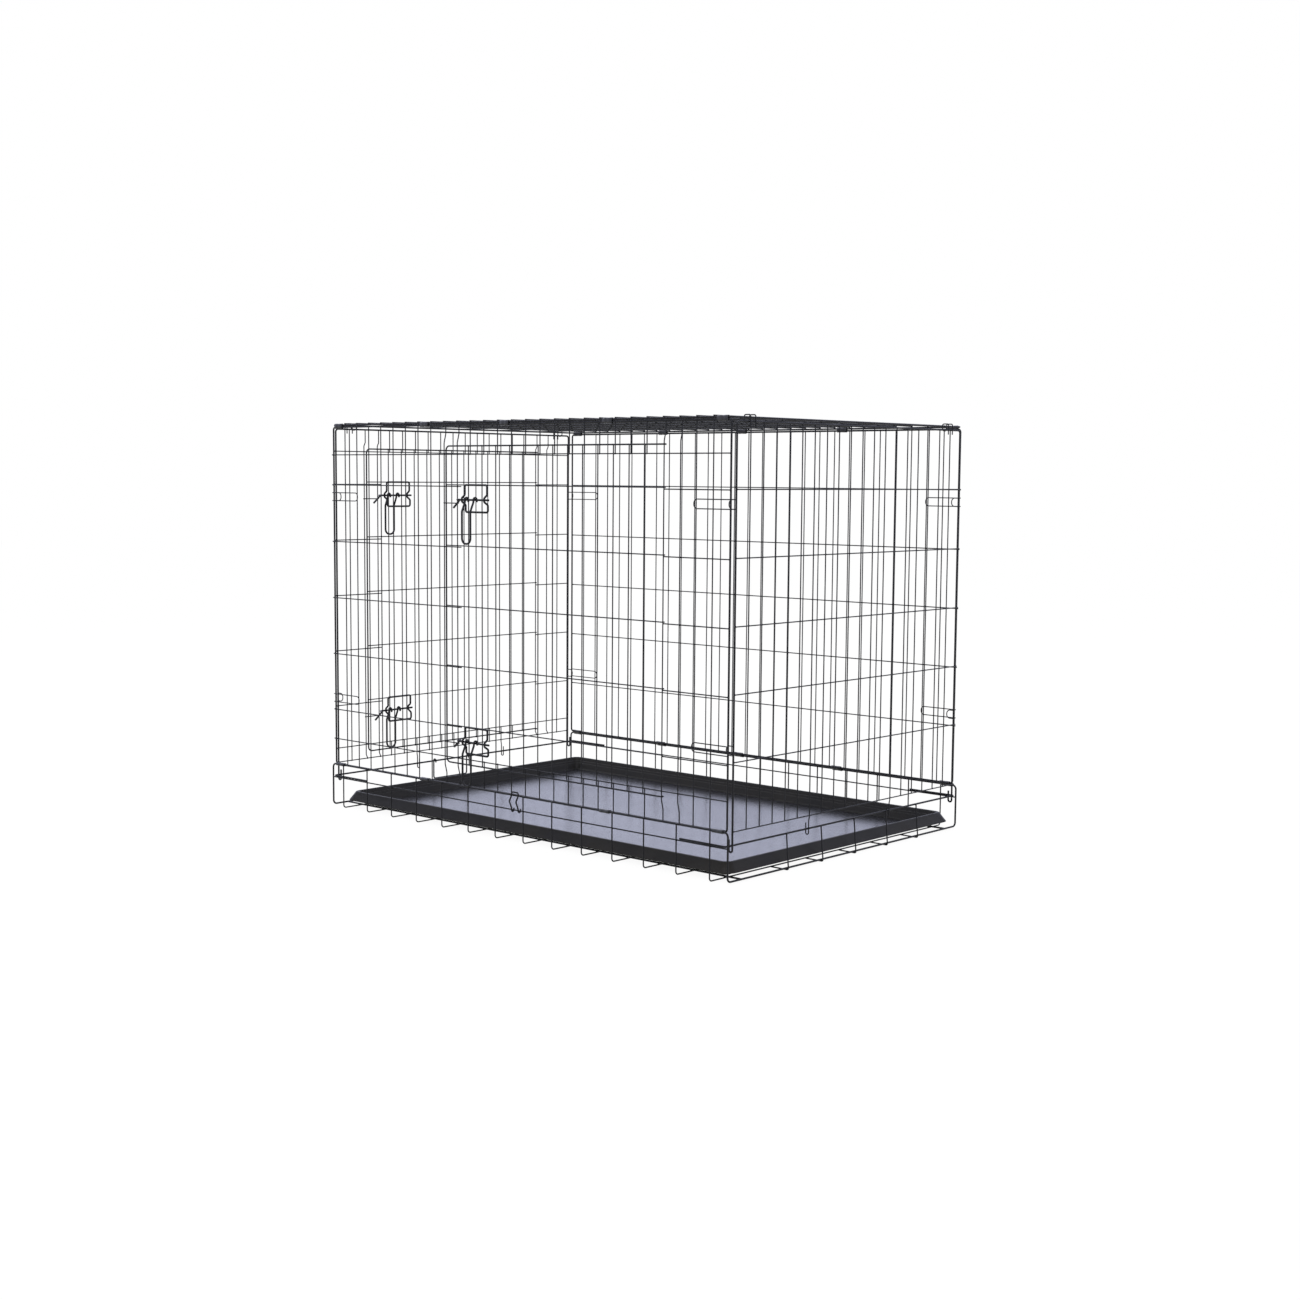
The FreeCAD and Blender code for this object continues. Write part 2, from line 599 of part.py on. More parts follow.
def build_front_panel():
    """Front panel with its doorway."""
    way = FRONT_DOORWAY
    build_side_frame(FRONT)
    uprights = wire_body("front_uprights")
    upright_row(uprights, "left", FRONT, "1", f"{way.first} - 1", UPRIGHT_LOW, UPRIGHT_HIGH, SIDE_PITCH)
    upright_row(uprights, "right", FRONT, f"({way.last} + 2)", f"{way.spaces} - {way.last} - 2",
                UPRIGHT_LOW, UPRIGHT_HIGH, SIDE_PITCH)
    stubs = wire_body("front_doorway_stubs")
    reach = "Sizes.wire_fine / 2"
    upright_row(stubs, "below", FRONT, f"({way.first} + 2)", f"{way.wide} - 2",
                UPRIGHT_LOW, f"({way.low} + {reach})", SIDE_PITCH)
    upright_row(stubs, "above", FRONT, f"({way.first} + 2)", f"{way.wide} - 2",
                f"({way.high} - {reach})", UPRIGHT_HIGH, SIDE_PITCH)
    build_doorway_posts(way, amount(UPRIGHT_LOW), amount(UPRIGHT_HIGH))
    crosses = wire_body("front_cross_wires")
    cross_row(crosses, "doorway", FRONT, f"-{SIDE_EDGE}", SIDE_EDGE,
              way.low, "2", f"({way.high} - {way.low})")
    cross_row(crosses, "left", FRONT, f"-{SIDE_EDGE}", f"({way.inner_post} + Sizes.post_tail)",
              way.cross_lowest, "Sizes.cross_count", way.cross_pitch)
    cross_row(crosses, "right", FRONT, f"({way.hinge} - Sizes.wire_fine)", SIDE_EDGE,
              way.cross_lowest, "Sizes.cross_count", way.cross_pitch)
    build_strikes(way)
    build_spring_loops(FRONT)


def build_back_panel():
    """Back panel, without a door."""
    build_side_frame(BACK)
    upright_row(wire_body("back_uprights"), "all", BACK, "1", "Sizes.side_spaces - 1",
                UPRIGHT_LOW, UPRIGHT_HIGH, SIDE_PITCH)
    cross_row(wire_body("back_cross_wires"), "all", BACK, f"-{SIDE_EDGE}", SIDE_EDGE,
              CROSS_LOWEST, "Sizes.cross_count", "Sizes.cross_pitch")
    build_spring_loops(BACK)


def build_top_panel():
    """Top panel: frame, long wires inside it and short wires over both."""
    x, y, z = amount(SIDE_X), amount(PANEL_Y), amount(TOP_Z)
    corners = [Vector(px, py, z) for px, py in ((-x, -y), (x, -y), (x, y), (-x, y))]
    rectangle_frame("top_frame", corners, amount("Sizes.frame_bend"))
    edge = f"({PANEL_Y} + Sizes.wire_frame / 2)"
    straight_row(wire_body("top_short_wires"), "all", "Y", "Sizes.wire_fine",
                 (f"(-{SIDE_X} + {SIDE_PITCH})", f"-{edge}", f"({TOP_Z} + {CROSS_OUT})"), f"2 * {edge}",
                 "X", f"{SIDE_PITCH} * (Sizes.side_spaces - 2)", "Sizes.side_spaces - 1")
    inner = f"({SIDE_X} - Sizes.wire_frame / 2 - Sizes.weld_gap)"
    span = "(Sizes.top_cross_pitch * (Sizes.top_cross_count - 1))"
    straight_row(wire_body("top_long_wires"), "all", "X", "Sizes.wire_fine",
                 (f"-{inner}", f"-{span} / 2", f"({TOP_Z} + {UPRIGHT_OUT})"), f"2 * {inner}",
                 "Y", span, "Sizes.top_cross_count")


def hook_path(side, along, out, high, radius, start_out=None):
    """Points of a wire that comes down a panel and turns under the end rail and up again inside."""
    rail_out = amount(END_RAIL_X) - side.depth
    rail = amount("Sizes.end_rail_height")
    under = rail - radius - amount("Sizes.hook_drop")
    path = []
    if start_out is not None:
        shift = amount(END_BOTTOM) - amount("2 * Sizes.wire_fine")
        path += [side.at(along, start_out, high), side.at(along, start_out, shift)]
        path += [side.at(along, out, shift - amount("2 * Sizes.hook_bend"))]
    else:
        path += [side.at(along, out, high)]
    path += [side.at(along, out, under), side.at(along, rail_out - radius, under)]
    path += [side.at(along, rail_out - radius, rail + amount("Sizes.hook_tail"))]
    return path


def build_end_frame(side):
    """Frame wire of an end panel: an arch whose two feet hook round the end rail."""
    y, high, radius = amount(END_Y), amount(END_TOP), amount(FRAME_HOOK)
    near = hook_path(side, -y, 0, high, radius)
    far = hook_path(side, y, 0, high, radius)
    path = near[::-1] + far
    bend = amount("Sizes.frame_bend")
    radii = [radius, radius, radius, bend, bend, radius, radius, radius]
    bent_group(f"{side.name}_frame", [bent_wire(path, radii, amount("Sizes.wire_frame"))])


def build_hook_wires(side, high):
    """Two uprights of an end panel that reach down and hook round the end rail."""
    radius = amount("(Sizes.wire_base + Sizes.wire_fine) / 2 + Sizes.running_gap")
    out = amount(END_RAIL_X) - side.depth + radius
    bend = amount("Sizes.hook_bend")
    wires = []
    for space in ("Sizes.hook_space", "(Sizes.end_spaces - Sizes.hook_space)"):
        along = amount(f"-{END_Y} + {END_PITCH} * {space}")
        path = hook_path(side, along, out, high, radius, amount(UPRIGHT_OUT))
        wires.append(bent_wire(path, [bend, bend, bend, radius, radius, radius], amount("Sizes.wire_fine")))
    bent_group(f"{side.name}_hook_wires", wires)


def build_corner_hooks(side):
    """Short hairpins on an end panel's frame that meet the side panels' spring loops."""
    wire = amount("Sizes.wire_loop")
    root = -amount("Sizes.wire_frame / 2 + Sizes.weld_gap")
    tip = root - amount("Sizes.corner_hook_length")
    half = amount("Sizes.loop_width / 2")
    hooks = []
    for along in (-amount(END_Y), amount(END_Y)):
        for level in fastening_levels():
            path = [side.at(along, out, level + rise) for out, rise in
                    ((root, half), (tip, half), (tip, -half), (root, -half))]
            hooks.append(bent_wire(path, half * amount("Sizes.loop_turn"), wire))
    bent_group(f"{side.name}_corner_hooks", hooks)


def build_top_hooks(side):
    """Two double-wire hooks on an end panel that reach over the top panel's edge wire."""
    out = amount(CROSS_OUT)
    inside = amount(f"{SIDE_X} - {END_X} - Sizes.wire_frame / 2 - 2 * Sizes.wire_fine")
    low = amount(f"{END_TOP} - 4 * Sizes.wire_fine")
    over = amount(f"{TOP_Z} + Sizes.wire_frame / 2 + 2 * Sizes.running_gap + Sizes.wire_fine")
    tip = amount(f"{TOP_Z} - Sizes.top_hook_drop")
    half = amount("Sizes.top_hook_width / 2")
    bend = amount("Sizes.top_hook_bend")
    middle = amount(f"{END_Y} - Sizes.top_hook_inset")
    hooks = []
    for centre in (-middle, middle):
        leg = [(out, low), (out, over), (inside, over), (inside, tip)]
        path = [side.at(centre - half, o, h) for o, h in leg]
        path += [side.at(centre + half, o, h) for o, h in reversed(leg)]
        radii = [bend] * 3 + [half * amount("Sizes.loop_turn")] * 2 + [bend] * 3
        hooks.append(bent_wire(path, radii, amount("Sizes.wire_fine")))
    bent_group(f"{side.name}_top_hooks", hooks)


END_UPRIGHT_LOW = f"({END_BOTTOM} - Sizes.wire_fine / 2)"
END_UPRIGHT_HIGH = f"({END_TOP} - Sizes.wire_frame / 2 - Sizes.weld_gap)"


def build_right_panel():
    """Right end panel, without a door."""
    build_end_frame(RIGHT)
    uprights = wire_body("right_uprights")
    hook = "Sizes.hook_space"
    for name, place, count in (("front", "1", f"{hook} - 1"),
                               ("middle", f"({hook} + 1)", f"Sizes.end_spaces - 2 * {hook} - 1"),
                               ("back", f"(Sizes.end_spaces - {hook} + 1)", f"{hook} - 1")):
        upright_row(uprights, name, RIGHT, place, count, END_UPRIGHT_LOW, END_UPRIGHT_HIGH, END_PITCH)
    crosses = wire_body("right_cross_wires")
    cross_row(crosses, "bottom", RIGHT, f"-{END_EDGE}", END_EDGE, END_BOTTOM)
    cross_row(crosses, "all", RIGHT, f"-{END_EDGE}", END_EDGE,
              END_CROSS_LOWEST, "Sizes.cross_count", "Sizes.end_cross_pitch")
    build_hook_wires(RIGHT, amount(END_UPRIGHT_HIGH))
    build_corner_hooks(RIGHT)
    build_top_hooks(RIGHT)


def build_left_panel():
    """Left end panel with its doorway."""
    way = LEFT_DOORWAY
    build_end_frame(LEFT)
    uprights = wire_body("left_uprights")
    upright_row(uprights, "front", LEFT, "1", f"{way.first} - 1",
                END_UPRIGHT_LOW, END_UPRIGHT_HIGH, END_PITCH)
    upright_row(uprights, "back", LEFT, f"({way.last} + 2)", f"{way.spaces} - {way.last} - 2",
                END_UPRIGHT_LOW, END_UPRIGHT_HIGH, END_PITCH)
    stubs = wire_body("left_doorway_stubs")
    reach = "Sizes.wire_fine / 2"
    hook = "Sizes.hook_space"
    below_high = f"({way.low} + {reach})"
    for name, place, count in (("front", f"({way.first} + 2)", f"{hook} - {way.first} - 2"),
                               ("middle", f"({hook} + 1)", f"Sizes.end_spaces - 2 * {hook} - 1"),
                               ("back", f"(Sizes.end_spaces - {hook} + 1)",
                                f"{way.last} + {hook} - Sizes.end_spaces - 1")):
        upright_row(stubs, name, LEFT, place, count, END_UPRIGHT_LOW, below_high, END_PITCH)
    upright_row(stubs, "above", LEFT, f"({way.first} + 2)", f"{way.wide} - 2",
                f"({way.high} - {reach})", END_UPRIGHT_HIGH, END_PITCH)
    build_doorway_posts(way, amount(END_UPRIGHT_LOW), amount(END_UPRIGHT_HIGH))
    crosses = wire_body("left_cross_wires")
    cross_row(crosses, "bottom", LEFT, f"-{END_EDGE}", END_EDGE, END_BOTTOM)
    cross_row(crosses, "doorway", LEFT, f"-{END_EDGE}", END_EDGE, way.low, "2", f"({way.high} - {way.low})")
    cross_row(crosses, "front", LEFT, f"-{END_EDGE}", f"({way.inner_post} + Sizes.post_tail)",
              way.cross_lowest, "Sizes.cross_count", way.cross_pitch)
    cross_row(crosses, "back", LEFT, f"({way.hinge} - Sizes.wire_fine)", END_EDGE,
              way.cross_lowest, "Sizes.cross_count", way.cross_pitch)
    build_strikes(way)
    build_hook_wires(LEFT, amount(below_high))
    build_corner_hooks(LEFT)
    build_top_hooks(LEFT)


# Doors

def eye_path(side, hinge, radius, height):
    """Points of a wire end that turns round the hinge post, from its tail to its straight run."""
    post = amount(POST_OUT)
    tail = amount("Sizes.eye_tail")
    return [side.at(along, out, height) for along, out in (
        (hinge - tail, post - radius), (hinge + radius, post - radius), (hinge + radius, post + radius))]


def build_door(doorway):
    """A door's frame, uprights, and cross wires with the eyes that hang them on the doorway's hinge post."""
    side = doorway.side
    edge, hinge = amount(doorway.edge), amount(doorway.hinge)
    low, high = amount(doorway.door_low), amount(doorway.door_high)
    eye, frame_out = amount(FRAME_EYE), amount(DOOR_FRAME_OUT)
    path = eye_path(side, hinge, eye, high)
    path += [side.at(edge, frame_out, high), side.at(edge, frame_out, low)]
    path += eye_path(side, hinge, eye, low)[::-1]
    bend = amount("Sizes.door_bend")
    radii = [eye, eye, eye, bend, bend, eye, eye, eye]
    frame = bent_wire(path, radii, amount("Sizes.wire_door"))
    bent_group(f"{side.name}_door_frame", [frame])

    first = f"({doorway.first} + 2)"
    start = side.place(f"(-{doorway.half} + {doorway.pitch} * {first})", DOOR_UPRIGHT_OUT,
                       f"({doorway.door_low} - Sizes.wire_door / 2)")
    straight_row(wire_body(f"{side.name}_door_uprights"), "all", "Z", "Sizes.wire_fine", start,
                 f"{doorway.door_high} - {doorway.door_low} + Sizes.wire_door",
                 "X" if side is FRONT else "Y",
                 f"{doorway.pitch} * ({doorway.wide} - 3)", f"{doorway.wide} - 2")

    eye, cross_out = amount(FINE_EYE), amount(DOOR_CROSS_OUT)
    end = edge + amount("Sizes.wire_door / 2 + Sizes.weld_gap")
    shank = hinge - amount("Sizes.eye_shank")
    start = shank - amount("Sizes.weld_gap")
    wire = amount("Sizes.wire_fine")
    crosses = []
    for i in range(int(amount("Sizes.cross_count"))):
        height = amount(f"{doorway.door_cross} + {doorway.cross_pitch} * {i}")
        run = [side.at(along, cross_out, height) for along in (start, end)]
        crosses.append(bent_wire(run, eye, wire))
        turn = eye_path(side, hinge, eye, height) + [side.at(shank, cross_out, height)]
        crosses.append(bent_wire(turn, eye, wire))
    bent_group(f"{side.name}_door_cross_wires", crosses)


def build_bracket(doorway, level):
    """A latch bracket: a wire loop on the door whose sides bow outward over the bolt."""
    side = doorway.side
    left = amount(f"{doorway.edge} + Sizes.bracket_start")
    right = left + amount("Sizes.bracket_width")
    rod = amount(level)
    top, foot = rod + amount("Sizes.bracket_drop"), rod - amount("Sizes.bracket_rise")
    bow = amount("Sizes.bracket_bow")
    top_out, foot_out = amount(BRACKET_TOP_OUT), amount(BRACKET_FOOT_OUT)
    bow_out = amount(f"{ROD_OUT} + Sizes.wire_latch + Sizes.running_gap")
    flat = amount("Sizes.bracket_flat / 2")
    leg = [(top_out, top), (top_out, rod + bow), (bow_out, rod + flat),
           (bow_out, rod - flat), (foot_out, rod - bow), (foot_out, foot)]
    path = [side.at(right, out, height) for out, height in leg]
    path += [side.at(left, out, height) for out, height in reversed(leg)]
    return bent_wire(path, amount("Sizes.bracket_bend"), amount("Sizes.wire_latch"), closed=True)


def build_bolt(doorway, name, level):
    """A sliding bolt: a rod through the bracket whose tip slopes inward behind the doorway post."""
    side = doorway.side
    edge, rod = amount(doorway.edge), amount(level)
    out, tip_out = amount(ROD_OUT), amount(BOLT_TIP_OUT)
    tail = amount("Sizes.bracket_start + Sizes.bracket_width + Sizes.rod_tail")
    path = [side.at(edge + along, depth, rod - drop) for along, depth, drop in (
        (tail, out, 0.0),
        (amount("Sizes.bolt_slope_start"), out, 0.0),
        (amount("Sizes.bolt_slope_end"), tip_out, 0.0),
        (amount("Sizes.bolt_tip"), tip_out, amount("Sizes.bolt_tip_drop")))]
    bolt = bent_wire(path, amount("Sizes.bolt_bend"), amount("Sizes.wire_latch"))
    bent_group(f"{side.name}_{name}_bolt", [bolt])


def build_handle(doorway, name, level):
    """A handle loop that hangs on the bolt by two hooked ends."""
    side = doorway.side
    rod, out = amount(level), amount(ROD_OUT)
    radius = amount("Sizes.wire_latch + Sizes.running_gap")
    near = amount(f"{doorway.edge} + Sizes.bracket_start + Sizes.handle_inset")
    far = near + amount("Sizes.handle_width")
    lean = out + radius + amount("Sizes.handle_lean")
    lean_z = rod - amount("Sizes.handle_lean_drop")
    bottom = rod - amount("Sizes.handle_length")
    bend = amount("Sizes.bracket_bend")
    leg = [(out - radius, rod - radius), (out - radius, rod + radius), (out + radius, rod + radius),
           (out + radius, rod - bend), (lean, lean_z), (lean, bottom)]
    path = [side.at(near, o, h) for o, h in leg] + [side.at(far, o, h) for o, h in reversed(leg)]
    turn = amount("Sizes.handle_width / 2 * Sizes.loop_turn")
    radii = [radius, radius, radius, bend, bend, turn]
    handle = bent_wire(path, radii + radii[::-1], amount("Sizes.wire_latch"))
    bent_group(f"{side.name}_{name}_handle", [handle])


def build_latches(doorway):
    """Brackets, bolts and handles of one door."""
    levels = latch_levels(doorway)
    bent_group(f"{doorway.side.name}_door_brackets", [build_bracket(doorway, level) for _, level in levels])
    for name, level in levels:
        build_bolt(doorway, name, level)
        build_handle(doorway, name, level)


# Tray

def rounded_rectangle(sketch, length, width, radius):
    """Draws a centred rectangle with rounded corners, its three sizes bound to expressions."""
    a, b, r = amount(f"({length}) / 2"), amount(f"({width}) / 2"), amount(radius)
    arc = Part.ArcOfCircle
    axis = Vector(0, 0, 1)
    lines = (((-a + r, -b), (a - r, -b)), ((a, -b + r), (a, b - r)),
             ((a - r, b), (-a + r, b)), ((-a, b - r), (-a, -b + r)))
    for start, end in lines:
        sketch.addGeometry(Part.LineSegment(Vector(*start, 0), Vector(*end, 0)), False)
    centres = ((a - r, -b + r, -0.5), (a - r, b - r, 0.0), (-a + r, b - r, 0.5), (-a + r, -b + r, 1.0))
    for cx, cy, turn in centres:
        circle = Part.Circle(Vector(cx, cy, 0), axis, r)
        sketch.addGeometry(arc(circle, turn * math.pi, (turn + 0.5) * math.pi), False)
    for i in range(4):
        sketch.addConstraint(Sketcher.Constraint("Tangent", i, 2, 4 + i, 1))
        sketch.addConstraint(Sketcher.Constraint("Tangent", 4 + i, 2, (i + 1) % 4, 1))
    for i in (0, 2):
        sketch.addConstraint(Sketcher.Constraint("Horizontal", i))
        sketch.addConstraint(Sketcher.Constraint("Vertical", i + 1))
    for i in (5, 6, 7):
        sketch.addConstraint(Sketcher.Constraint("Equal", 4, i))
    sketch.addConstraint(Sketcher.Constraint("Symmetric", 4, 3, 6, 3, -1, 1))
    named = (("corner", ("Radius", 4, r), radius),
             ("length", ("DistanceX", 3, 1, 1, 1, 2 * a), length),
             ("width", ("DistanceY", 0, 1, 2, 1, 2 * b), width))
    for name, arguments, expression in named:
        datum = sketch.addConstraint(Sketcher.Constraint(*arguments))
        sketch.renameConstraint(datum, name)
        sketch.setExpression(f"Constraints.{name}", expression)


TRAY_LENGTH = f"(2 * ({BASE_X} - Sizes.tray_end_gap))"
TRAY_WIDTH = f"(2 * ({BASE_Y} - Sizes.tray_side_gap))"
TRAY_LOW = f"({GROUND_Z} + Sizes.wire_base / 2 + Sizes.running_gap)"


def tray_section(body, name, height, inset):
    """A rounded rectangle of the tray at a height above its underside."""
    sketch = body.newObject("Sketcher::SketchObject", name)
    attach(sketch, body, "XY_Plane", ("Sizes.tray_shift", "0", f"{TRAY_LOW} + {height}"))
    rounded_rectangle(sketch, f"{TRAY_LENGTH} - 2 * {inset}", f"{TRAY_WIDTH} - 2 * {inset}",
                      f"Sizes.tray_corner - {inset} / 2")
    return sketch


def tray_loft(body, kind, name, low, high):
    """A ruled loft of the tray between two sections, each a height and an inset."""
    loft = body.newObject(f"PartDesign::{kind}Loft", name)
    loft.Profile = tray_section(body, f"{name}_low", *low)
    loft.Sections = [tray_section(body, f"{name}_high", *high)]
    loft.Ruled = True
    body.Tip = loft


def build_tray():
    """Moulded pan: a flaring skirt, a rim, drafted walls, and a step half way down inside."""
    body = doc.addObject("PartDesign::Body", "tray")
    keep(body, "tray")
    wall, top, flare = "Sizes.tray_wall", "Sizes.tray_height", "Sizes.tray_flare"
    skirt_low = "Sizes.tray_skirt_rise"
    ceiling = f"({top} - {wall})"
    lean = f"({flare} * ({ceiling} - {skirt_low}) / ({top} - {skirt_low}))"
    mouth = f"({flare} + Sizes.tray_rim)"
    ledge = f"({mouth} + Sizes.tray_draft / 2)"
    floor = f"({mouth} + Sizes.tray_draft + Sizes.tray_step)"
    ledge_height = f"({top} - Sizes.tray_step_height)"
    tray_loft(body, "Additive", "skirt", (skirt_low, "0"), (top, flare))
    tray_loft(body, "Subtractive", "hollow", (skirt_low, wall), (ceiling, f"({lean} + {wall})"))
    tray_loft(body, "Additive", "shell", ("0", f"({floor} - {wall})"), (top, f"({mouth} - {wall})"))
    tray_loft(body, "Subtractive", "step", (ledge_height, ledge), (top, mouth))
    tray_loft(body, "Subtractive", "well", (wall, floor), (ledge_height, f"({ledge} + Sizes.tray_step)"))


# Pan stop and fold clasp

def build_pan_stop():
    """A wire that hangs on the left end rail and keeps the tray in."""
    radius = amount("(Sizes.wire_base + Sizes.wire_clasp) / 2 + Sizes.running_gap")
    rail_x, rail_z = -amount(END_RAIL_X), amount("Sizes.end_rail_height")
    low = rail_z - amount("Sizes.stop_drop")
    half = amount("Sizes.stop_width / 2")
    middle = amount("Sizes.stop_centre")
    leg = [(rail_x + radius, rail_z - radius), (rail_x + radius, rail_z + radius),
           (rail_x - radius, rail_z + radius), (rail_x - radius, low)]
    path = [Vector(px, middle - half, pz) for px, pz in leg]
    path += [Vector(px, middle + half, pz) for px, pz in reversed(leg)]
    radii = [radius, radius, radius, amount("Sizes.stop_bend")]
    bent_group("pan_stop", [bent_wire(path, radii + radii[::-1], amount("Sizes.wire_clasp"))])


def build_clasp():
    """A wire clasp on the front side wire that holds the folded crate together."""
    radius = amount("(Sizes.wire_side + Sizes.wire_clasp) / 2 + Sizes.running_gap")
    wire_y, wire_z = -amount(SIDE_WIRE_Y), amount(SIDE_WIRE_Z)
    outside = wire_y - radius
    top = wire_z + amount("Sizes.clasp_rise")
    bow = outside - amount("Sizes.clasp_bow")
    half = amount("Sizes.clasp_width / 2")
    middle = amount("Sizes.clasp_centre")
    bend = amount("Sizes.clasp_bend")
    knee = (wire_z + top) / 2
    leg = [(wire_y + radius, wire_z + radius), (wire_y + radius, wire_z - radius), (outside, wire_z - radius),
           (outside, wire_z + radius), (bow, knee), (outside, top - 2 * radius), (outside, top)]
    path = [Vector(middle - half, py, pz) for py, pz in leg]
    path += [Vector(middle + half, py, pz) for py, pz in reversed(leg)]
    radii = [radius, radius, radius, bend, bend, bend, bend]
    bent_group("fold_clasp", [bent_wire(path, radii + radii[::-1], amount("Sizes.wire_clasp"))])


build_base()
build_clips()
build_front_panel()
build_back_panel()
build_top_panel()
build_right_panel()
build_left_panel()
for doorway in (FRONT_DOORWAY, LEFT_DOORWAY):
    build_door(doorway)
    build_latches(doorway)
build_tray()
build_pan_stop()
build_clasp()

doc.recompute()
for obj in doc.Objects:
    if "Invalid" in obj.State or "Error" in obj.State:
        raise ValueError(f"{obj.Label} failed to build")
os.makedirs("parts", exist_ok=True)
for piece in parts:
    if piece.Shape.isNull() or not piece.Shape.isValid():
        raise ValueError(f"{piece.Label} has no valid shape")
for piece in parts:
    piece.Shape.exportStep(f"parts/{piece.Label}.step")
    print(piece.Label, len(piece.Shape.Solids))
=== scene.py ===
"""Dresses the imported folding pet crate: coated wires, welds, hinge straps, moulded tray and studio."""
import json
import logging
import math
from dataclasses import dataclass, field
from enum import Enum
from functools import cached_property
from typing import Any, Dict, Iterable, List, Sequence, Tuple

import bmesh
import bpy
from mathutils import Matrix, Vector


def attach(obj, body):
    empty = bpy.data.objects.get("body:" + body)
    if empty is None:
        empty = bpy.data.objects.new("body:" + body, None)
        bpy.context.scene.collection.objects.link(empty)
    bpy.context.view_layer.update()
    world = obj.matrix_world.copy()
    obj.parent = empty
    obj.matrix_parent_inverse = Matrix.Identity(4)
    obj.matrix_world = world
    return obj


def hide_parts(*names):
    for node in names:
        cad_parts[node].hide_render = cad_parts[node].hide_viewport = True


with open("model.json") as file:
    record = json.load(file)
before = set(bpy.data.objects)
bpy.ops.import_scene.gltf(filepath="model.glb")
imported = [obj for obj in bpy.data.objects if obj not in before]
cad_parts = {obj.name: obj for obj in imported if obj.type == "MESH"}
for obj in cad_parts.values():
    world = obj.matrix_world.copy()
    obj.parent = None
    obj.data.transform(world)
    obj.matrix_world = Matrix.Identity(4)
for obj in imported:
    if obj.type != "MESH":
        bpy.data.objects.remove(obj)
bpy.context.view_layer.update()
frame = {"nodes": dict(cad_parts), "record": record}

LOG = logging.getLogger("pet_crate")
MM = 0.001
PHOTO_PIXELS = 1300.0
WHITE = (1.0, 1.0, 1.0, 1.0)

Colour = Tuple[float, float, float, float]
Triple = Tuple[float, float, float]


def linear(hex_colour: str) -> Colour:
    """Turns an sRGB hex colour into linear light.

    Args:
        hex_colour: Six hex digits after a hash sign.

    Returns:
        Red, green, blue and a full alpha.
    """
    parts = [int(hex_colour[i:i + 2], 16) / 255.0 for i in (1, 3, 5)]
    steps = [c / 12.92 if c <= 0.04045 else ((c + 0.055) / 1.055) ** 2.4 for c in parts]
    return (steps[0], steps[1], steps[2], 1.0)


def per_metre(size_mm: float) -> float:
    """Gives the texture scale whose features are size_mm across."""
    return 1.0 / (size_mm * MM)


def add_node(tree: bpy.types.NodeTree, kind: str, settings: Dict[Any, Any],
             links: Dict[Any, Any]) -> bpy.types.Node:
    """Adds one node to a tree.

    Args:
        tree: The tree that gets the node.
        kind: The node's type name.
        settings: Properties of the node, or values of its inputs by name or number.
        links: Sockets to feed into its inputs, by input name or number.

    Returns:
        The new node.
    """
    node = tree.nodes.new(kind)
    for key, value in settings.items():
        if isinstance(key, str) and hasattr(node, key):
            setattr(node, key, value)
        else:
            node.inputs[key].default_value = value
    for key, socket in links.items():
        tree.links.new(socket, node.inputs[key])
    return node


@dataclass(frozen=True)
class ColourRamp:
    """Two colours and the places between which a pattern runs from one to the other."""

    dark: str
    light: str
    start: float
    end: float

    def add(self, tree: bpy.types.NodeTree, pattern: bpy.types.NodeSocket) -> bpy.types.NodeSocket:
        """Adds the ramp to a tree.

        Args:
            tree: The tree that gets it.
            pattern: The pattern that it colours.

        Returns:
            The socket with the colour.
        """
        node = add_node(tree, "ShaderNodeValToRGB", {}, {"Fac": pattern})
        first, second = node.color_ramp.elements
        first.position = self.start
        first.color = linear(self.dark)
        second.position = self.end
        second.color = linear(self.light)
        return node.outputs["Color"]


@dataclass
class MaterialDraft:
    """A material in the making, with the parts that several finishes share."""

    name: str

    def __post_init__(self) -> None:
        """Makes the material with an empty tree."""
        self.material = bpy.data.materials.new(self.name)
        self.material.use_nodes = True
        self.tree = self.material.node_tree
        self.tree.nodes.clear()

    @cached_property
    def place(self) -> bpy.types.NodeSocket:
        """The socket with the object's own coordinates."""
        return add_node(self.tree, "ShaderNodeTexCoord", {}, {}).outputs["Object"]

    def noise(self, size_mm: float, detail: float) -> bpy.types.NodeSocket:
        """Adds a noise pattern.

        Args:
            size_mm: How large its features are.
            detail: How many finer layers it has.

        Returns:
            The socket with the pattern.
        """
        settings = {"Scale": per_metre(size_mm), "Detail": detail}
        return add_node(self.tree, "ShaderNodeTexNoise", settings, {"Vector": self.place}).outputs["Fac"]

    def spread(self, pattern: bpy.types.NodeSocket, middle: float, swing: float) -> bpy.types.NodeSocket:
        """Spreads a pattern over a range of values.

        Args:
            pattern: The pattern, from 0 to 1.
            middle: The middle of the range.
            swing: How far the range reaches to both sides.

        Returns:
            The socket with the values.
        """
        settings = {"To Min": middle - swing, "To Max": middle + swing}
        return add_node(self.tree, "ShaderNodeMapRange", settings, {"Value": pattern}).outputs["Result"]

    def bump(self, pattern: bpy.types.NodeSocket, strength: float, depth_mm: float) -> bpy.types.NodeSocket:
        """Adds a fine relief.

        Args:
            pattern: The pattern that gives its height.
            strength: How strongly it shows.
            depth_mm: How deep it is.

        Returns:
            The socket with the normal.
        """
        settings = {"Strength": strength, "Distance": depth_mm * MM}
        return add_node(self.tree, "ShaderNodeBump", settings, {"Height": pattern}).outputs["Normal"]

    def finish(self, surface: bpy.types.NodeSocket) -> bpy.types.Material:
        """Ends the tree.

        Args:
            surface: The shader's socket.

        Returns:
            The finished material.
        """
        add_node(self.tree, "ShaderNodeOutputMaterial", {}, {"Surface": surface})
        return self.material


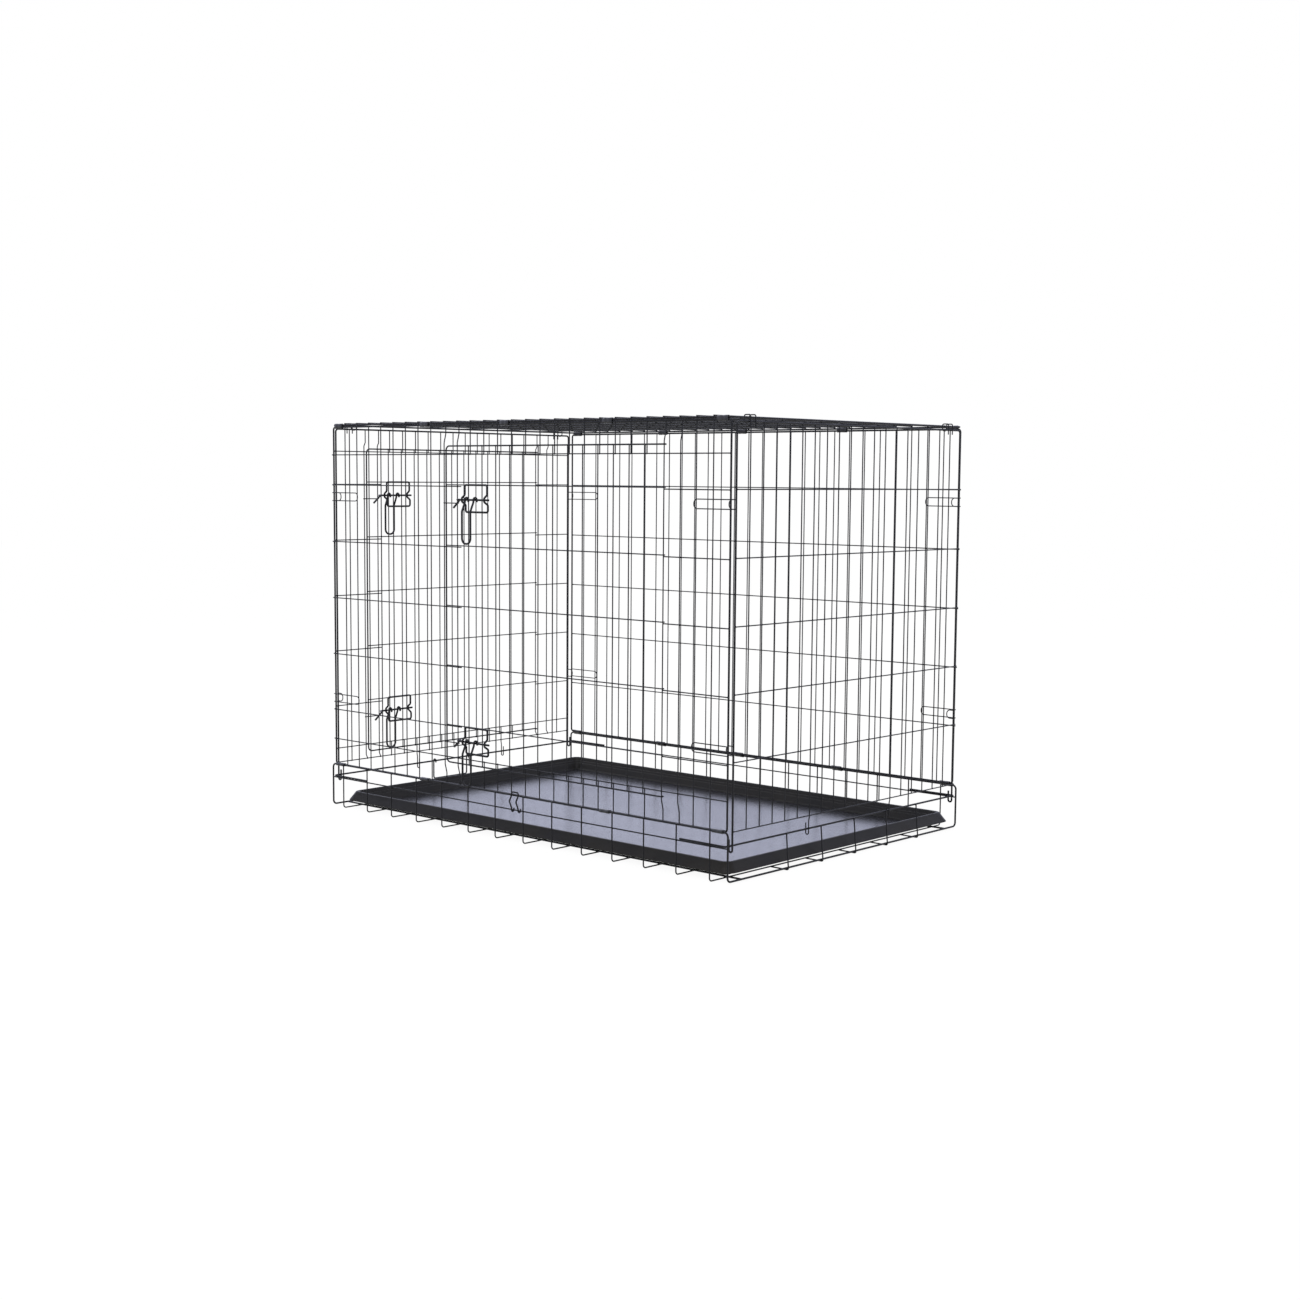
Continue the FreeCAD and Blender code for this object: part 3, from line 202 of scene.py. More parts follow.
class RecordSlot(Enum):
    """The record's material slots."""

    WIRE = "coated_wire"
    CLIP = "clip_sheet"
    TRAY = "tray_plastic"


@dataclass(frozen=True)
class PowderCoat:
    """Black epoxy powder coat, baked on steel wire.

    It gives the eye a deep black with a soft, slightly rippled gloss, thicker and smoother in the welds.
    """

    name: str = "powder_coat_black_baked"
    colours: ColourRamp = ColourRamp("#0c0c0d", "#141416", start=0.35, end=0.65)
    roughness: float = 0.44
    roughness_swing: float = 0.10
    specular: float = 0.17
    batch_mm: float = 60.0
    batch_detail: float = 2.0
    # The real ripple of the coat is under 1 mm; it is drawn coarser, so that it shows at all.
    ripple_mm: float = 1.6
    ripple_detail: float = 3.0
    ripple_strength: float = 0.12
    ripple_depth_mm: float = 0.15

    def make(self) -> bpy.types.Material:
        """Builds the material.

        Returns:
            The finished material.
        """
        draft = MaterialDraft(self.name)
        colour = self.colours.add(draft.tree, draft.noise(self.batch_mm, self.batch_detail))
        ripple = draft.noise(self.ripple_mm, self.ripple_detail)
        gloss = draft.spread(ripple, self.roughness, self.roughness_swing)
        bump = draft.bump(ripple, self.ripple_strength, self.ripple_depth_mm)
        shader = add_node(draft.tree, "ShaderNodeBsdfPrincipled", {"Specular IOR Level": self.specular},
                          {"Base Color": colour, "Roughness": gloss, "Normal": bump})
        return draft.finish(shader.outputs["BSDF"])


@dataclass(frozen=True)
class CoatedStrap:
    """Thin sheet steel, pressed round the wires and coated with them.

    It gives the eye a black a little greyer than the wires, with rubbed, paler patches.
    """

    name: str = "coated_sheet_steel_pressed"
    colours: ColourRamp = ColourRamp("#131314", "#2b2b2d", start=0.48, end=0.78)
    roughness: float = 0.40
    specular: float = 0.35
    rub_mm: float = 7.0
    rub_detail: float = 4.0
    rub_strength: float = 0.10
    rub_depth_mm: float = 0.1

    def make(self) -> bpy.types.Material:
        """Builds the material.

        Returns:
            The finished material.
        """
        draft = MaterialDraft(self.name)
        rub = draft.noise(self.rub_mm, self.rub_detail)
        colour = self.colours.add(draft.tree, rub)
        bump = draft.bump(rub, self.rub_strength, self.rub_depth_mm)
        shader = add_node(draft.tree, "ShaderNodeBsdfPrincipled",
                          {"Roughness": self.roughness, "Specular IOR Level": self.specular},
                          {"Base Color": colour, "Normal": bump})
        return draft.finish(shader.outputs["BSDF"])


@dataclass(frozen=True)
class MouldedPolypropylene:
    """Black polypropylene, vacuum-formed: smooth where the sheet lay flat, grained where it was drawn.

    Smooth, it gives the eye a black sheet that turns to a soft, bluish grey mirror at a low angle; grained,
    it stays a dull, slightly brown black.
    """

    name: str = "polypropylene_black_smooth"
    colours: ColourRamp = ColourRamp("#111113", "#1a1a1d", start=0.3, end=0.7)
    roughness: float = 0.23
    roughness_swing: float = 0.03
    specular: float = 0.5
    refraction: float = 1.49
    flow_mm: float = 90.0
    flow_detail: float = 3.0
    # The grain of such trays is about half a millimetre; it is drawn coarser, so that it shows at all.
    grain_mm: float = 2.4
    grain_strength: float = 0.03
    grain_depth_mm: float = 0.12

    def make(self) -> bpy.types.Material:
        """Builds the material.

        Returns:
            The finished material.
        """
        draft = MaterialDraft(self.name)
        flow = draft.noise(self.flow_mm, self.flow_detail)
        colour = self.colours.add(draft.tree, flow)
        gloss = draft.spread(flow, self.roughness, self.roughness_swing)
        grain = add_node(draft.tree, "ShaderNodeTexVoronoi", {"Scale": per_metre(self.grain_mm)},
                         {"Vector": draft.place})
        bump = draft.bump(grain.outputs["Distance"], self.grain_strength, self.grain_depth_mm)
        shader = add_node(draft.tree, "ShaderNodeBsdfPrincipled",
                          {"IOR": self.refraction, "Specular IOR Level": self.specular},
                          {"Base Color": colour, "Roughness": gloss, "Normal": bump})
        return draft.finish(shader.outputs["BSDF"])


@dataclass(frozen=True)
class StudioPaper:
    """White seamless paper, matt: it gives the eye a plain white floor that keeps a faint shadow."""

    name: str = "studio_paper_white"
    paper: str = "#f4f4f4"
    keep_shadow: float = 0.06

    def make(self) -> bpy.types.Material:
        """Builds the material.

        Returns:
            The finished material.
        """
        draft = MaterialDraft(self.name)
        path = add_node(draft.tree, "ShaderNodeLightPath", {}, {})
        seen = add_node(draft.tree, "ShaderNodeMath", {"operation": "MAXIMUM"},
                        {0: path.outputs["Is Camera Ray"], 1: path.outputs["Is Glossy Ray"]})
        share = add_node(draft.tree, "ShaderNodeMath", {"operation": "MULTIPLY", 1: 1.0 - self.keep_shadow},
                         {0: seen.outputs["Value"]})
        matt = add_node(draft.tree, "ShaderNodeBsdfDiffuse", {"Color": linear(self.paper)}, {})
        glow = add_node(draft.tree, "ShaderNodeEmission", {"Color": WHITE, "Strength": 1.0}, {})
        mix = add_node(draft.tree, "ShaderNodeMixShader", {},
                       {0: share.outputs["Value"], 1: matt.outputs["BSDF"], 2: glow.outputs["Emission"]})
        return draft.finish(mix.outputs["Shader"])


@dataclass(frozen=True)
class CrateSizes:
    """Main measures of the crate in millimetres, the same as in its solids."""

    fine: float = 2.2
    heavy: float = 3.6
    door: float = 3.0
    base: float = 3.6
    floor: float = 2.6
    side_x: float = 537.35
    side_y: float = 353.0
    side_low: float = 91.0
    side_high: float = 797.0
    side_spaces: int = 28
    hinge_step: float = 4.25
    end_x: float = 541.9
    end_y: float = 344.0
    end_low: float = 91.5
    end_hook_low: float = 60.0
    end_high: float = 794.0
    end_spaces: int = 19
    side_levels: Tuple[float, ...] = (678.0, 560.3, 442.6, 324.9, 207.2)
    end_levels: Tuple[float, ...] = (679.0, 562.25, 445.5, 328.75, 212.0)
    cross_out: float = 2.92
    upright_out: float = 0.70
    post_out: float = 5.14
    post_tail: float = 8.0
    door_cross_out: float = 7.64
    door_frame_out: float = 8.04
    door_upright_out: float = 5.42
    door_shift: float = 6.0

    @property
    def top_z(self) -> float:
        """Height of the top panel's frame wire, over the hinge straps."""
        return self.side_high + self.hinge_step

    @property
    def side_pitch(self) -> float:
        """Distance between uprights of the long panels."""
        return 2.0 * self.side_x / self.side_spaces

    @property
    def end_pitch(self) -> float:
        """Distance between uprights of the end panels."""
        return 2.0 * self.end_y / self.end_spaces


SIZES = CrateSizes()


class Facing(Enum):
    """The way a panel faces; its value is the CAD body that carries it."""

    FRONT = "front_panel"
    BACK = "back_panel"
    LEFT = "left_panel"
    RIGHT = "right_panel"
    TOP = "top_panel"

    def point(self, along: float, out: float, height: float) -> Vector:
        """Turns a panel's own measures into a place.

        Args:
            along: Distance along the panel, in millimetres.
            out: Distance outward from the middle of its frame wire.
            height: Height above the floor, or on the top panel the distance towards the back.

        Returns:
            The place in metres.
        """
        places = {
            Facing.FRONT: (along, -SIZES.side_y - out, height),
            Facing.BACK: (along, SIZES.side_y + out, height),
            Facing.LEFT: (-SIZES.end_x - out, along, height),
            Facing.RIGHT: (SIZES.end_x + out, along, height),
            Facing.TOP: (along, height, SIZES.top_z + out),
        }
        return Vector(places[self]) * MM

    def axes(self) -> Matrix:
        """Gives the panel's along, outward and up directions as a matrix's columns."""
        here = self.point(0.0, 0.0, 0.0)
        steps = [self.point(1.0, 0.0, 0.0), self.point(0.0, 1.0, 0.0), self.point(0.0, 0.0, 1.0)]
        return Matrix([(step - here).normalized() for step in steps]).transposed()


@dataclass(frozen=True)
class Rod:
    """One straight wire of a panel: its fixed place, its two ends, its layer and its diameter."""

    place: float
    low: float
    high: float
    out: float
    diameter: float


def new_piece(name: str, mesh: bmesh.types.BMesh, body: str,
              material: bpy.types.Material) -> bpy.types.Object:
    """Turns a finished mesh into a piece that rides on a body.

    Args:
        name: The piece's name.
        mesh: Its mesh, which is used up.
        body: The CAD body that it rides on.
        material: Its material.

    Returns:
        The new object.
    """
    data = bpy.data.meshes.new(name)
    mesh.to_mesh(data)
    mesh.free()
    for polygon in data.polygons:
        polygon.use_smooth = True
    data.materials.append(material)
    piece = bpy.data.objects.new(name, data)
    bpy.context.scene.collection.objects.link(piece)
    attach(piece, body)
    LOG.info("%s: %d faces on %s", name, len(data.polygons), body)
    return piece


def skin(mesh: bmesh.types.BMesh, rings: Sequence[List[bmesh.types.BMVert]]) -> None:
    """Joins each ring of vertices to the next with a band of faces.

    Args:
        mesh: The mesh that holds them.
        rings: The rings in order, all with the same number of vertices.
    """
    for ring, following in zip(rings, rings[1:]):
        for i in range(len(ring)):
            j = (i + 1) % len(ring)
            mesh.faces.new((ring[i], ring[j], following[j], following[i]))


@dataclass(frozen=True)
class WeldShape:
    """How far a weld spreads, as shares of the wires' diameters or in millimetres."""

    touch_slack: float = 0.1
    cross_share: float = 0.36
    cross_more: float = 0.9
    cross_depth_share: float = 0.30
    butt_share: float = 0.62
    butt_depth_share: float = 0.5
    segments: int = 8
    bands: int = 5


WELD = WeldShape()


@dataclass
class WeldSet:
    """The resistance welds of one body, each a small fillet of metal under the coat."""

    name: str
    body: str
    mesh: bmesh.types.BMesh = field(default_factory=bmesh.new)

    def spot(self, centre: Vector, axes: Matrix, half: Triple) -> None:
        """Adds one weld.

        Args:
            centre: Its middle, in metres.
            axes: Directions of its three half sizes.
            half: Half its size along them, in millimetres.
        """
        size = Matrix.Diagonal(Vector(half) * MM)
        place = Matrix.Translation(centre) @ (axes @ size).to_4x4()
        bmesh.ops.create_uvsphere(self.mesh, u_segments=WELD.segments, v_segments=WELD.bands, radius=1.0,
                                  matrix=place)

    def crossings(self, facing: Facing, uprights: Iterable[Rod], crosses: Sequence[Rod]) -> None:
        """Adds a weld wherever an upright touches a cross wire.

        Args:
            facing: The panel's way.
            uprights: Wires that run up.
            crosses: Wires that run along.
        """
        axes = facing.axes()
        for upright in uprights:
            for cross in crosses:
                touch = (upright.diameter + cross.diameter) / 2.0
                apart = abs(abs(upright.out - cross.out) - touch)
                inside = cross.low - touch <= upright.place <= cross.high + touch
                inside = inside and upright.low - touch <= cross.place <= upright.high + touch
                if not inside or apart > WELD.touch_slack:
                    continue
                lean = math.copysign(upright.diameter / 2.0, cross.out - upright.out)
                centre = facing.point(upright.place, upright.out + lean, cross.place)
                wide = WELD.cross_share * touch + WELD.cross_more
                self.spot(centre, axes, (wide, WELD.cross_depth_share * touch, wide))

    def butts(self, facing: Facing, uprights: Iterable[Rod], frame_diameter: float) -> None:
        """Adds a weld at both ends of each upright, where it meets a frame wire.

        Args:
            facing: The panel's way.
            uprights: Wires that run up between the frame's bars.
            frame_diameter: The frame wire's diameter.
        """
        axes = facing.axes()
        for upright in uprights:
            wide = upright.diameter * WELD.butt_share
            deep = min(wide, frame_diameter / 2.0)
            for height in (upright.low, upright.high):
                centre = facing.point(upright.place, upright.out, height)
                self.spot(centre, axes, (wide, deep, WELD.butt_depth_share * wide))

    def finish(self, material: bpy.types.Material) -> bpy.types.Object:
        """Makes the piece."""
        return new_piece(self.name, self.mesh, self.body, material)


@dataclass(frozen=True)
class Doorway:
    """A panel's doorway: the spaces it takes, its bars' heights and its posts' reach past them."""

    first: int
    spaces: int
    low: float
    high: float
    post_below: float
    post_above: float

    @property
    def last(self) -> int:
        """Number of the space where the doorway ends."""
        return self.first + self.spaces

    def clears(self, space: int) -> bool:
        """Tells whether a numbered upright stands beside the doorway."""
        return space < self.first or space > self.last + 1

    def cuts(self, space: int) -> bool:
        """Tells whether the doorway cuts a numbered upright into two stubs."""
        return self.first + 2 <= space < self.last


@dataclass
class WallPanel:
    """An upright panel, with a doorway or none: what the long panels and the end panels share."""

    facing: Facing
    doorways: Tuple[Doorway, ...] = ()

    # Half the panel's length, its spaces, the frame's and the uprights' ends and the cross wires' heights.
    half: float = SIZES.side_x
    spaces: int = SIZES.side_spaces
    frame_low: float = SIZES.side_low
    frame_high: float = SIZES.side_high
    upright_low: float = SIZES.side_low + SIZES.heavy / 2.0
    levels: Tuple[float, ...] = SIZES.side_levels
    low_levels: Tuple[float, ...] = ()
    butted: bool = True

    def place(self, space: int) -> float:
        """Gives the place of a numbered upright."""
        return -self.half + 2.0 * self.half / self.spaces * space

    def frame_sides(self) -> List[Rod]:
        """Gives the frame's two upright sides."""
        return [Rod(sign * self.half, self.frame_low, self.frame_high, 0.0, SIZES.heavy) for sign in (-1, 1)]

    def upright(self, along: float, low: float, high: float) -> Rod:
        """Gives one plain upright or stub between two heights."""
        return Rod(along, low, high, SIZES.upright_out, SIZES.fine)

    def uprights(self) -> List[Rod]:
        """Gives the uprights, stubs and posts.

        Returns:
            One rod for each straight stretch.
        """
        low = self.upright_low
        high = self.frame_high - SIZES.heavy / 2.0
        rods = []
        for space in range(1, self.spaces):
            along = self.place(space)
            if all(door.clears(space) for door in self.doorways):
                rods.append(self.upright(along, low, high))
                continue
            door = self.doorways[0]
            if door.cuts(space):
                rods.append(self.upright(along, low, door.low))
                rods.append(self.upright(along, door.high, high))
            else:
                rods.append(Rod(along + SIZES.door_shift, door.low - door.post_below,
                                door.high + door.post_above, SIZES.post_out, SIZES.fine))
        return rods

    def cross(self, height: float, start: float, end: float) -> Rod:
        """Gives one cross wire between two places along the panel."""
        return Rod(height, start, end, SIZES.cross_out, SIZES.fine)

    def crosses(self) -> List[Rod]:
        """Gives the cross wires.

        Returns:
            One rod for each wire.
        """
        edge = self.half + SIZES.heavy / 2.0
        rods = [self.cross(z, -edge, edge) for z in self.low_levels]
        if not self.doorways:
            return rods + [self.cross(z, -edge, edge) for z in self.levels]
        door = self.doorways[0]
        rods += [self.cross(z, -edge, edge) for z in (door.low, door.high)]
        latch_end = self.place(door.first + 1) + SIZES.door_shift + SIZES.post_tail
        hinge_end = self.place(door.last) + SIZES.door_shift
        for z in self.levels:
            rods.append(self.cross(z, -edge, latch_end))
            rods.append(self.cross(z, hinge_end, edge))
        return rods

    def build(self, coat: bpy.types.Material) -> None:
        """Adds the panel's welds."""
        welds = WeldSet(f"{self.facing.value}_welds", self.facing.value)
        uprights = self.uprights()
        welds.crossings(self.facing, uprights + self.frame_sides(), self.crosses())
        if self.butted:
            plain = [rod for rod in uprights if rod.out == SIZES.upright_out]
            welds.butts(self.facing, plain, SIZES.heavy)
        welds.finish(coat)


@dataclass
class EndPanel(WallPanel):
    """The left or right end panel, whose uprights end on a low cross wire."""

    half: float = SIZES.end_y
    spaces: int = SIZES.end_spaces
    frame_low: float = SIZES.end_hook_low
    frame_high: float = SIZES.end_high
    upright_low: float = SIZES.end_low - SIZES.fine / 2.0
    levels: Tuple[float, ...] = SIZES.end_levels
    low_levels: Tuple[float, ...] = (SIZES.end_low,)
    butted: bool = False


@dataclass
class TopPanel:
    """The top panel: long wires inside its frame, short wires over them and over the frame."""

    long_pitch: float = 117.7
    long_count: int = 5

    def build(self, coat: bpy.types.Material) -> None:
        """Adds the panel's welds."""
        edge = SIZES.side_y + SIZES.heavy / 2.0
        inner = SIZES.side_x - SIZES.heavy / 2.0
        shorts = [Rod(-SIZES.side_x + SIZES.side_pitch * space, -edge, edge, SIZES.cross_out, SIZES.fine)
                  for space in range(1, SIZES.side_spaces)]
        middle = (self.long_count - 1) / 2.0
        longs = [Rod((i - middle) * self.long_pitch, -inner, inner, SIZES.upright_out, SIZES.fine)
                 for i in range(self.long_count)]
        bars = [Rod(sign * SIZES.side_y, -inner, inner, 0.0, SIZES.heavy) for sign in (-1, 1)]
        welds = WeldSet("top_panel_welds", Facing.TOP.value)
        welds.crossings(Facing.TOP, shorts, longs + bars)
        wide = SIZES.fine * WELD.butt_share
        for rod in longs:
            for end in (rod.low, rod.high):
                centre = Facing.TOP.point(end, rod.out, rod.place)
                welds.spot(centre, Facing.TOP.axes(), (WELD.butt_depth_share * wide, wide, wide))
        welds.finish(coat)


@dataclass
class WireDoor:
    """A door: uprights inside, cross wires and frame outside, all in one weld layer."""

    facing: Facing
    body: str
    edge: float
    hinge: float
    first_upright: float
    pitch: float
    uprights: int
    low: float
    high: float
    levels: Tuple[float, ...]
    lift: float
    tip_weld: Triple = (1.1, 1.4, 1.4)

    def build(self, coat: bpy.types.Material) -> None:
        """Adds the door's welds."""
        reach = SIZES.door / 2.0
        rods = [Rod(self.first_upright + self.pitch * i, self.low - reach, self.high + reach,
                    SIZES.door_upright_out, SIZES.fine) for i in range(self.uprights)]
        crosses = [Rod(z + self.lift, self.edge, self.hinge, SIZES.door_cross_out, SIZES.fine)
                   for z in self.levels]
        bars = [Rod(z, self.edge, self.hinge, SIZES.door_frame_out, SIZES.door)
                for z in (self.low, self.high)]
        welds = WeldSet(f"{self.body}_welds", self.body)
        welds.crossings(self.facing, rods, crosses + bars)
        axes = self.facing.axes()
        for cross in crosses:
            centre = self.facing.point(self.edge + reach, SIZES.door_cross_out, cross.place)
            welds.spot(centre, axes, self.tip_weld)
        welds.finish(coat)


@dataclass
class BaseTub:
    """The base: its bent floor wires with the rails that they carry."""

    front_rail_z: float = SIZES.side_low
    back_rail_z: float = SIZES.side_low - SIZES.hinge_step
    side_z: float = 62.88
    floor_y: float = 360.37
    floor_x: float = 505.0
    floor_count: int = 14
    floor_rail_x: float = 541.2
    floor_rail_y: float = 319.25
    ground_z: float = 4.42
    end_rail_x: float = 538.0
    end_rail_z: float = 66.0
    end_rail_leg: float = 105.0
    end_wire_x: float = 543.0
    post_pitch: float = 102.5
    post_shift: float = 14.0
    post_count: int = 5
    weld_wide: float = 1.9
    weld_deep: float = 0.9
    post_butt: Triple = (1.1, 1.6, 1.2)
    rail_butt: Triple = (1.2, 2.1, 1.7)

    def floor_wire_welds(self, welds: WeldSet, axes: Matrix) -> None:
        """Adds the welds of the bent floor wires.

        Args:
            welds: The set that gets them.
            axes: The directions of their sizes.
        """
        facing_wall = (self.weld_wide, self.weld_deep, self.weld_wide)
        facing_floor = (self.weld_wide, self.weld_wide, self.weld_deep)
        for i in range(self.floor_count):
            x = -self.floor_x + 2.0 * self.floor_x * i / (self.floor_count - 1)
            for sign in (-1, 1):
                contact = sign * (self.floor_y - SIZES.floor / 2.0)
                levels = [self.front_rail_z if sign < 0 else self.back_rail_z, self.side_z]
                if abs(x) > self.end_rail_x - self.end_rail_leg:
                    levels.append(self.end_rail_z)
                for level in levels:
                    welds.spot(Vector((x, contact, level)) * MM, axes, facing_wall)
                welds.spot(Vector((x, sign * self.floor_rail_y, SIZES.floor)) * MM, axes, facing_floor)

    def post_welds(self, welds: WeldSet, axes: Matrix) -> None:
        """Adds the welds of the right end's short posts.

        Args:
            welds: The set that gets them.
            axes: The directions of their sizes.
        """
        facing_end = (self.weld_deep, self.weld_wide, self.weld_wide)
        facing_floor = (self.weld_wide, self.weld_wide, self.weld_deep)
        for i in range(self.post_count):
            y = (i - (self.post_count - 1) / 2.0) * self.post_pitch + self.post_shift
            contact = self.end_rail_x + SIZES.base / 2.0
            welds.spot(Vector((contact, y, self.end_rail_z)) * MM, axes, facing_end)
            welds.spot(Vector((self.end_wire_x, y, SIZES.floor)) * MM, axes, facing_floor)
            butt = Vector((self.floor_x + SIZES.floor / 2.0, y, SIZES.floor / 2.0)) * MM
            welds.spot(butt, axes, self.post_butt)

    def build(self, coat: bpy.types.Material) -> None:
        """Adds the base's welds."""
        welds = WeldSet("base_welds", "base")
        axes = Matrix.Identity(3)
        self.floor_wire_welds(welds, axes)
        self.post_welds(welds, axes)
        for sign_x in (-1, 1):
            for sign_y in (-1, 1):
                end = Vector((sign_x * self.floor_rail_x, sign_y * self.floor_rail_y, self.ground_z)) * MM
                welds.spot(end, axes, self.rail_butt)
        welds.finish(coat)


@dataclass
class HingeStraps:
    """One row of hinge straps, each pressed round two wires, the second a run and a rise from the first."""

    node: str
    body: str
    across: float
    height: float
    run: float
    rise: float
    with_middle: bool
    width: float = 24.0
    wall: float = 1.0
    inner: float = 2.15
    edge_round: float = 0.25
    press_half: float = 2.6
    press_slope: float = 0.8
    press_depth: float = 0.18
    corner_steps: int = 10
    first_space: float = 0.47
    second_space: float = 7.5

    def places(self) -> List[float]:
        """Gives the middle of each strap along the edge."""
        first = SIZES.side_x - self.first_space * SIZES.side_pitch
        second = SIZES.side_x - self.second_space * SIZES.side_pitch
        middle = [-SIZES.side_pitch / 2.0] if self.with_middle else []
        return [-first, -second, second, first] + middle

    def outline(self, radius: float) -> List[Tuple[float, float]]:
        """Gives a slot-shaped outline round the two wires.

        Args:
            radius: Distance of the outline from the wires' middles.

        Returns:
            Places across and up from the first wire.
        """
        along = Vector((self.run, self.rise)).normalized()
        side = Vector((along.y, -along.x))
        points = []
        for start, centre in ((math.pi, Vector((0.0, 0.0))), (0.0, Vector((self.run, self.rise)))):
            for i in range(self.corner_steps + 1):
                turn = start + math.pi * i / self.corner_steps
                point = centre + radius * (math.cos(turn) * side + math.sin(turn) * along)
                points.append((point.x, point.y))
        return points

    def stations(self) -> List[Tuple[float, float]]:
        """Gives the strap's section: rounded edges, and a shallow press mark round its middle.

        Returns:
            Places along the edge with the outline's radius there, once round the wall.
        """
        half, soft = self.width / 2.0, self.edge_round
        outer, inner = self.inner + self.wall, self.inner
        press, brim = self.press_half, self.press_half + self.press_slope
        sunk = outer - self.press_depth
        return [(-half, inner + soft), (-half, outer - soft), (-half + soft, outer), (-brim, outer),
                (-press, sunk), (press, sunk), (brim, outer), (half - soft, outer),
                (half, outer - soft), (half, inner + soft), (half - soft, inner), (-half + soft, inner)]

    def strap(self, mesh: bmesh.types.BMesh, place: float) -> None:
        """Adds one strap.

        Args:
            mesh: The mesh that gets it.
            place: Its middle along the edge.
        """
        rings = []
        for shift, radius in self.stations():
            rings.append([mesh.verts.new(Vector((place + shift, self.across + y, self.height + z)) * MM)
                          for y, z in self.outline(radius)])
        skin(mesh, rings + rings[:1])

    def build(self, coat: bpy.types.Material) -> None:
        """Makes the row and shows it in place of its CAD node."""
        mesh = bmesh.new()
        for place in self.places():
            self.strap(mesh, place)
        bmesh.ops.recalc_face_normals(mesh, faces=mesh.faces)
        piece = new_piece(f"{self.node}_pressed", mesh, self.body, coat)
        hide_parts(self.node)


@dataclass
class TrayPan:
    """The moulded tray: a rounded pan with a flaring skirt, a rim and two ledges down its inside wall."""

    half_length: float = 526.5
    half_width: float = 348.5
    shift: float = 11.0
    low: float = 6.52
    corner: float = 22.0
    least_corner: float = 3.0
    corner_steps: int = 10
    # Distance inside the skirt's edge and height, from the underside round the skirt and rim to the floor.
    profile: Tuple[Tuple[float, float], ...] = (
        (29.5, 0.0), (27.4, 0.4), (26.3, 1.8), (16.6, 23.4), (15.4, 24.8), (13.4, 24.8), (12.2, 23.8),
        (3.0, 9.7), (2.4, 9.05), (0.6, 9.0), (0.05, 9.3), (0.25, 10.0), (11.0, 26.1), (11.8, 27.1),
        (13.0, 27.5), (15.6, 27.5), (16.8, 27.2), (17.7, 26.1), (18.9, 21.1), (19.4, 20.4), (22.3, 20.2),
        (23.1, 19.7), (23.8, 16.5), (24.4, 15.7), (25.9, 15.4), (26.7, 14.7), (28.9, 5.5), (30.9, 3.5),
        (34.5, 2.6), (36.5, 2.6))

    def ring(self, mesh: bmesh.types.BMesh, inset: float, height: float) -> List[bmesh.types.BMVert]:
        """Adds one rounded rectangle of vertices.

        Args:
            mesh: The mesh that gets them.
            inset: Distance inside the skirt's outer edge.
            height: Height above the tray's underside.

        Returns:
            The vertices in order.
        """
        x, y = self.half_length - inset, self.half_width - inset
        radius = max(self.corner - inset / 2.0, self.least_corner)
        verts = []
        for turn, sx, sy in ((0.0, 1, 1), (0.5, -1, 1), (1.0, -1, -1), (1.5, 1, -1)):
            for i in range(self.corner_steps + 1):
                angle = math.pi * (turn + 0.5 * i / self.corner_steps)
                place = (self.shift + sx * (x - radius) + radius * math.cos(angle),
                         sy * (y - radius) + radius * math.sin(angle), self.low + height)
                verts.append(mesh.verts.new(Vector(place) * MM))
        return verts

    def build(self, smooth: bpy.types.Material, grained: bpy.types.Material) -> None:
        """Makes the tray and shows it in place of its CAD node.

        Args:
            smooth: The finish of its flat floor.
            grained: The finish of its drawn walls, rim and skirt.
        """
        mesh = bmesh.new()
        rings = [self.ring(mesh, inset, height) for inset, height in self.profile]
        skin(mesh, rings)
        mesh.faces.new(list(reversed(rings[0])))
        mesh.faces.new(rings[-1]).material_index = 1
        bmesh.ops.recalc_face_normals(mesh, faces=mesh.faces)
        piece = new_piece("tray_moulded", mesh, "tray", grained)
        piece.data.materials.append(smooth)
        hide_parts("tray")


@dataclass
class PhotoCamera:
    """The camera, where the photograph was taken from."""

    focal_pixels: float = 1815.43
    yaw: float = -0.73634
    pitch: float = -0.09485
    roll: float = 0.00725
    place: Triple = (2506.08, -2725.88, 698.34)
    sensor: float = 36.0
    clip_near: float = 0.05
    clip_far: float = 60.0

    def build(self) -> None:
        """Adds the camera and makes it the scene's own."""
        ahead = Vector((math.sin(self.yaw) * math.cos(self.pitch), math.cos(self.yaw) * math.cos(self.pitch),
                        math.sin(self.pitch)))
        level = Vector((math.cos(self.yaw), -math.sin(self.yaw), 0.0))
        rise = level.cross(ahead)
        right = level * math.cos(self.roll) + rise * math.sin(self.roll)
        up = rise * math.cos(self.roll) - level * math.sin(self.roll)
        data = bpy.data.cameras.new("photo_camera")
        data.sensor_width = self.sensor
        data.sensor_fit = "HORIZONTAL"
        data.lens = self.focal_pixels / PHOTO_PIXELS * self.sensor
        data.clip_start = self.clip_near
        data.clip_end = self.clip_far
        camera = bpy.data.objects.new("photo_camera", data)
        turn = Matrix((right, up, -ahead)).transposed().to_4x4()
        camera.matrix_world = Matrix.Translation(Vector(self.place) * MM) @ turn
        bpy.context.scene.collection.objects.link(camera)
        bpy.context.scene.camera = camera


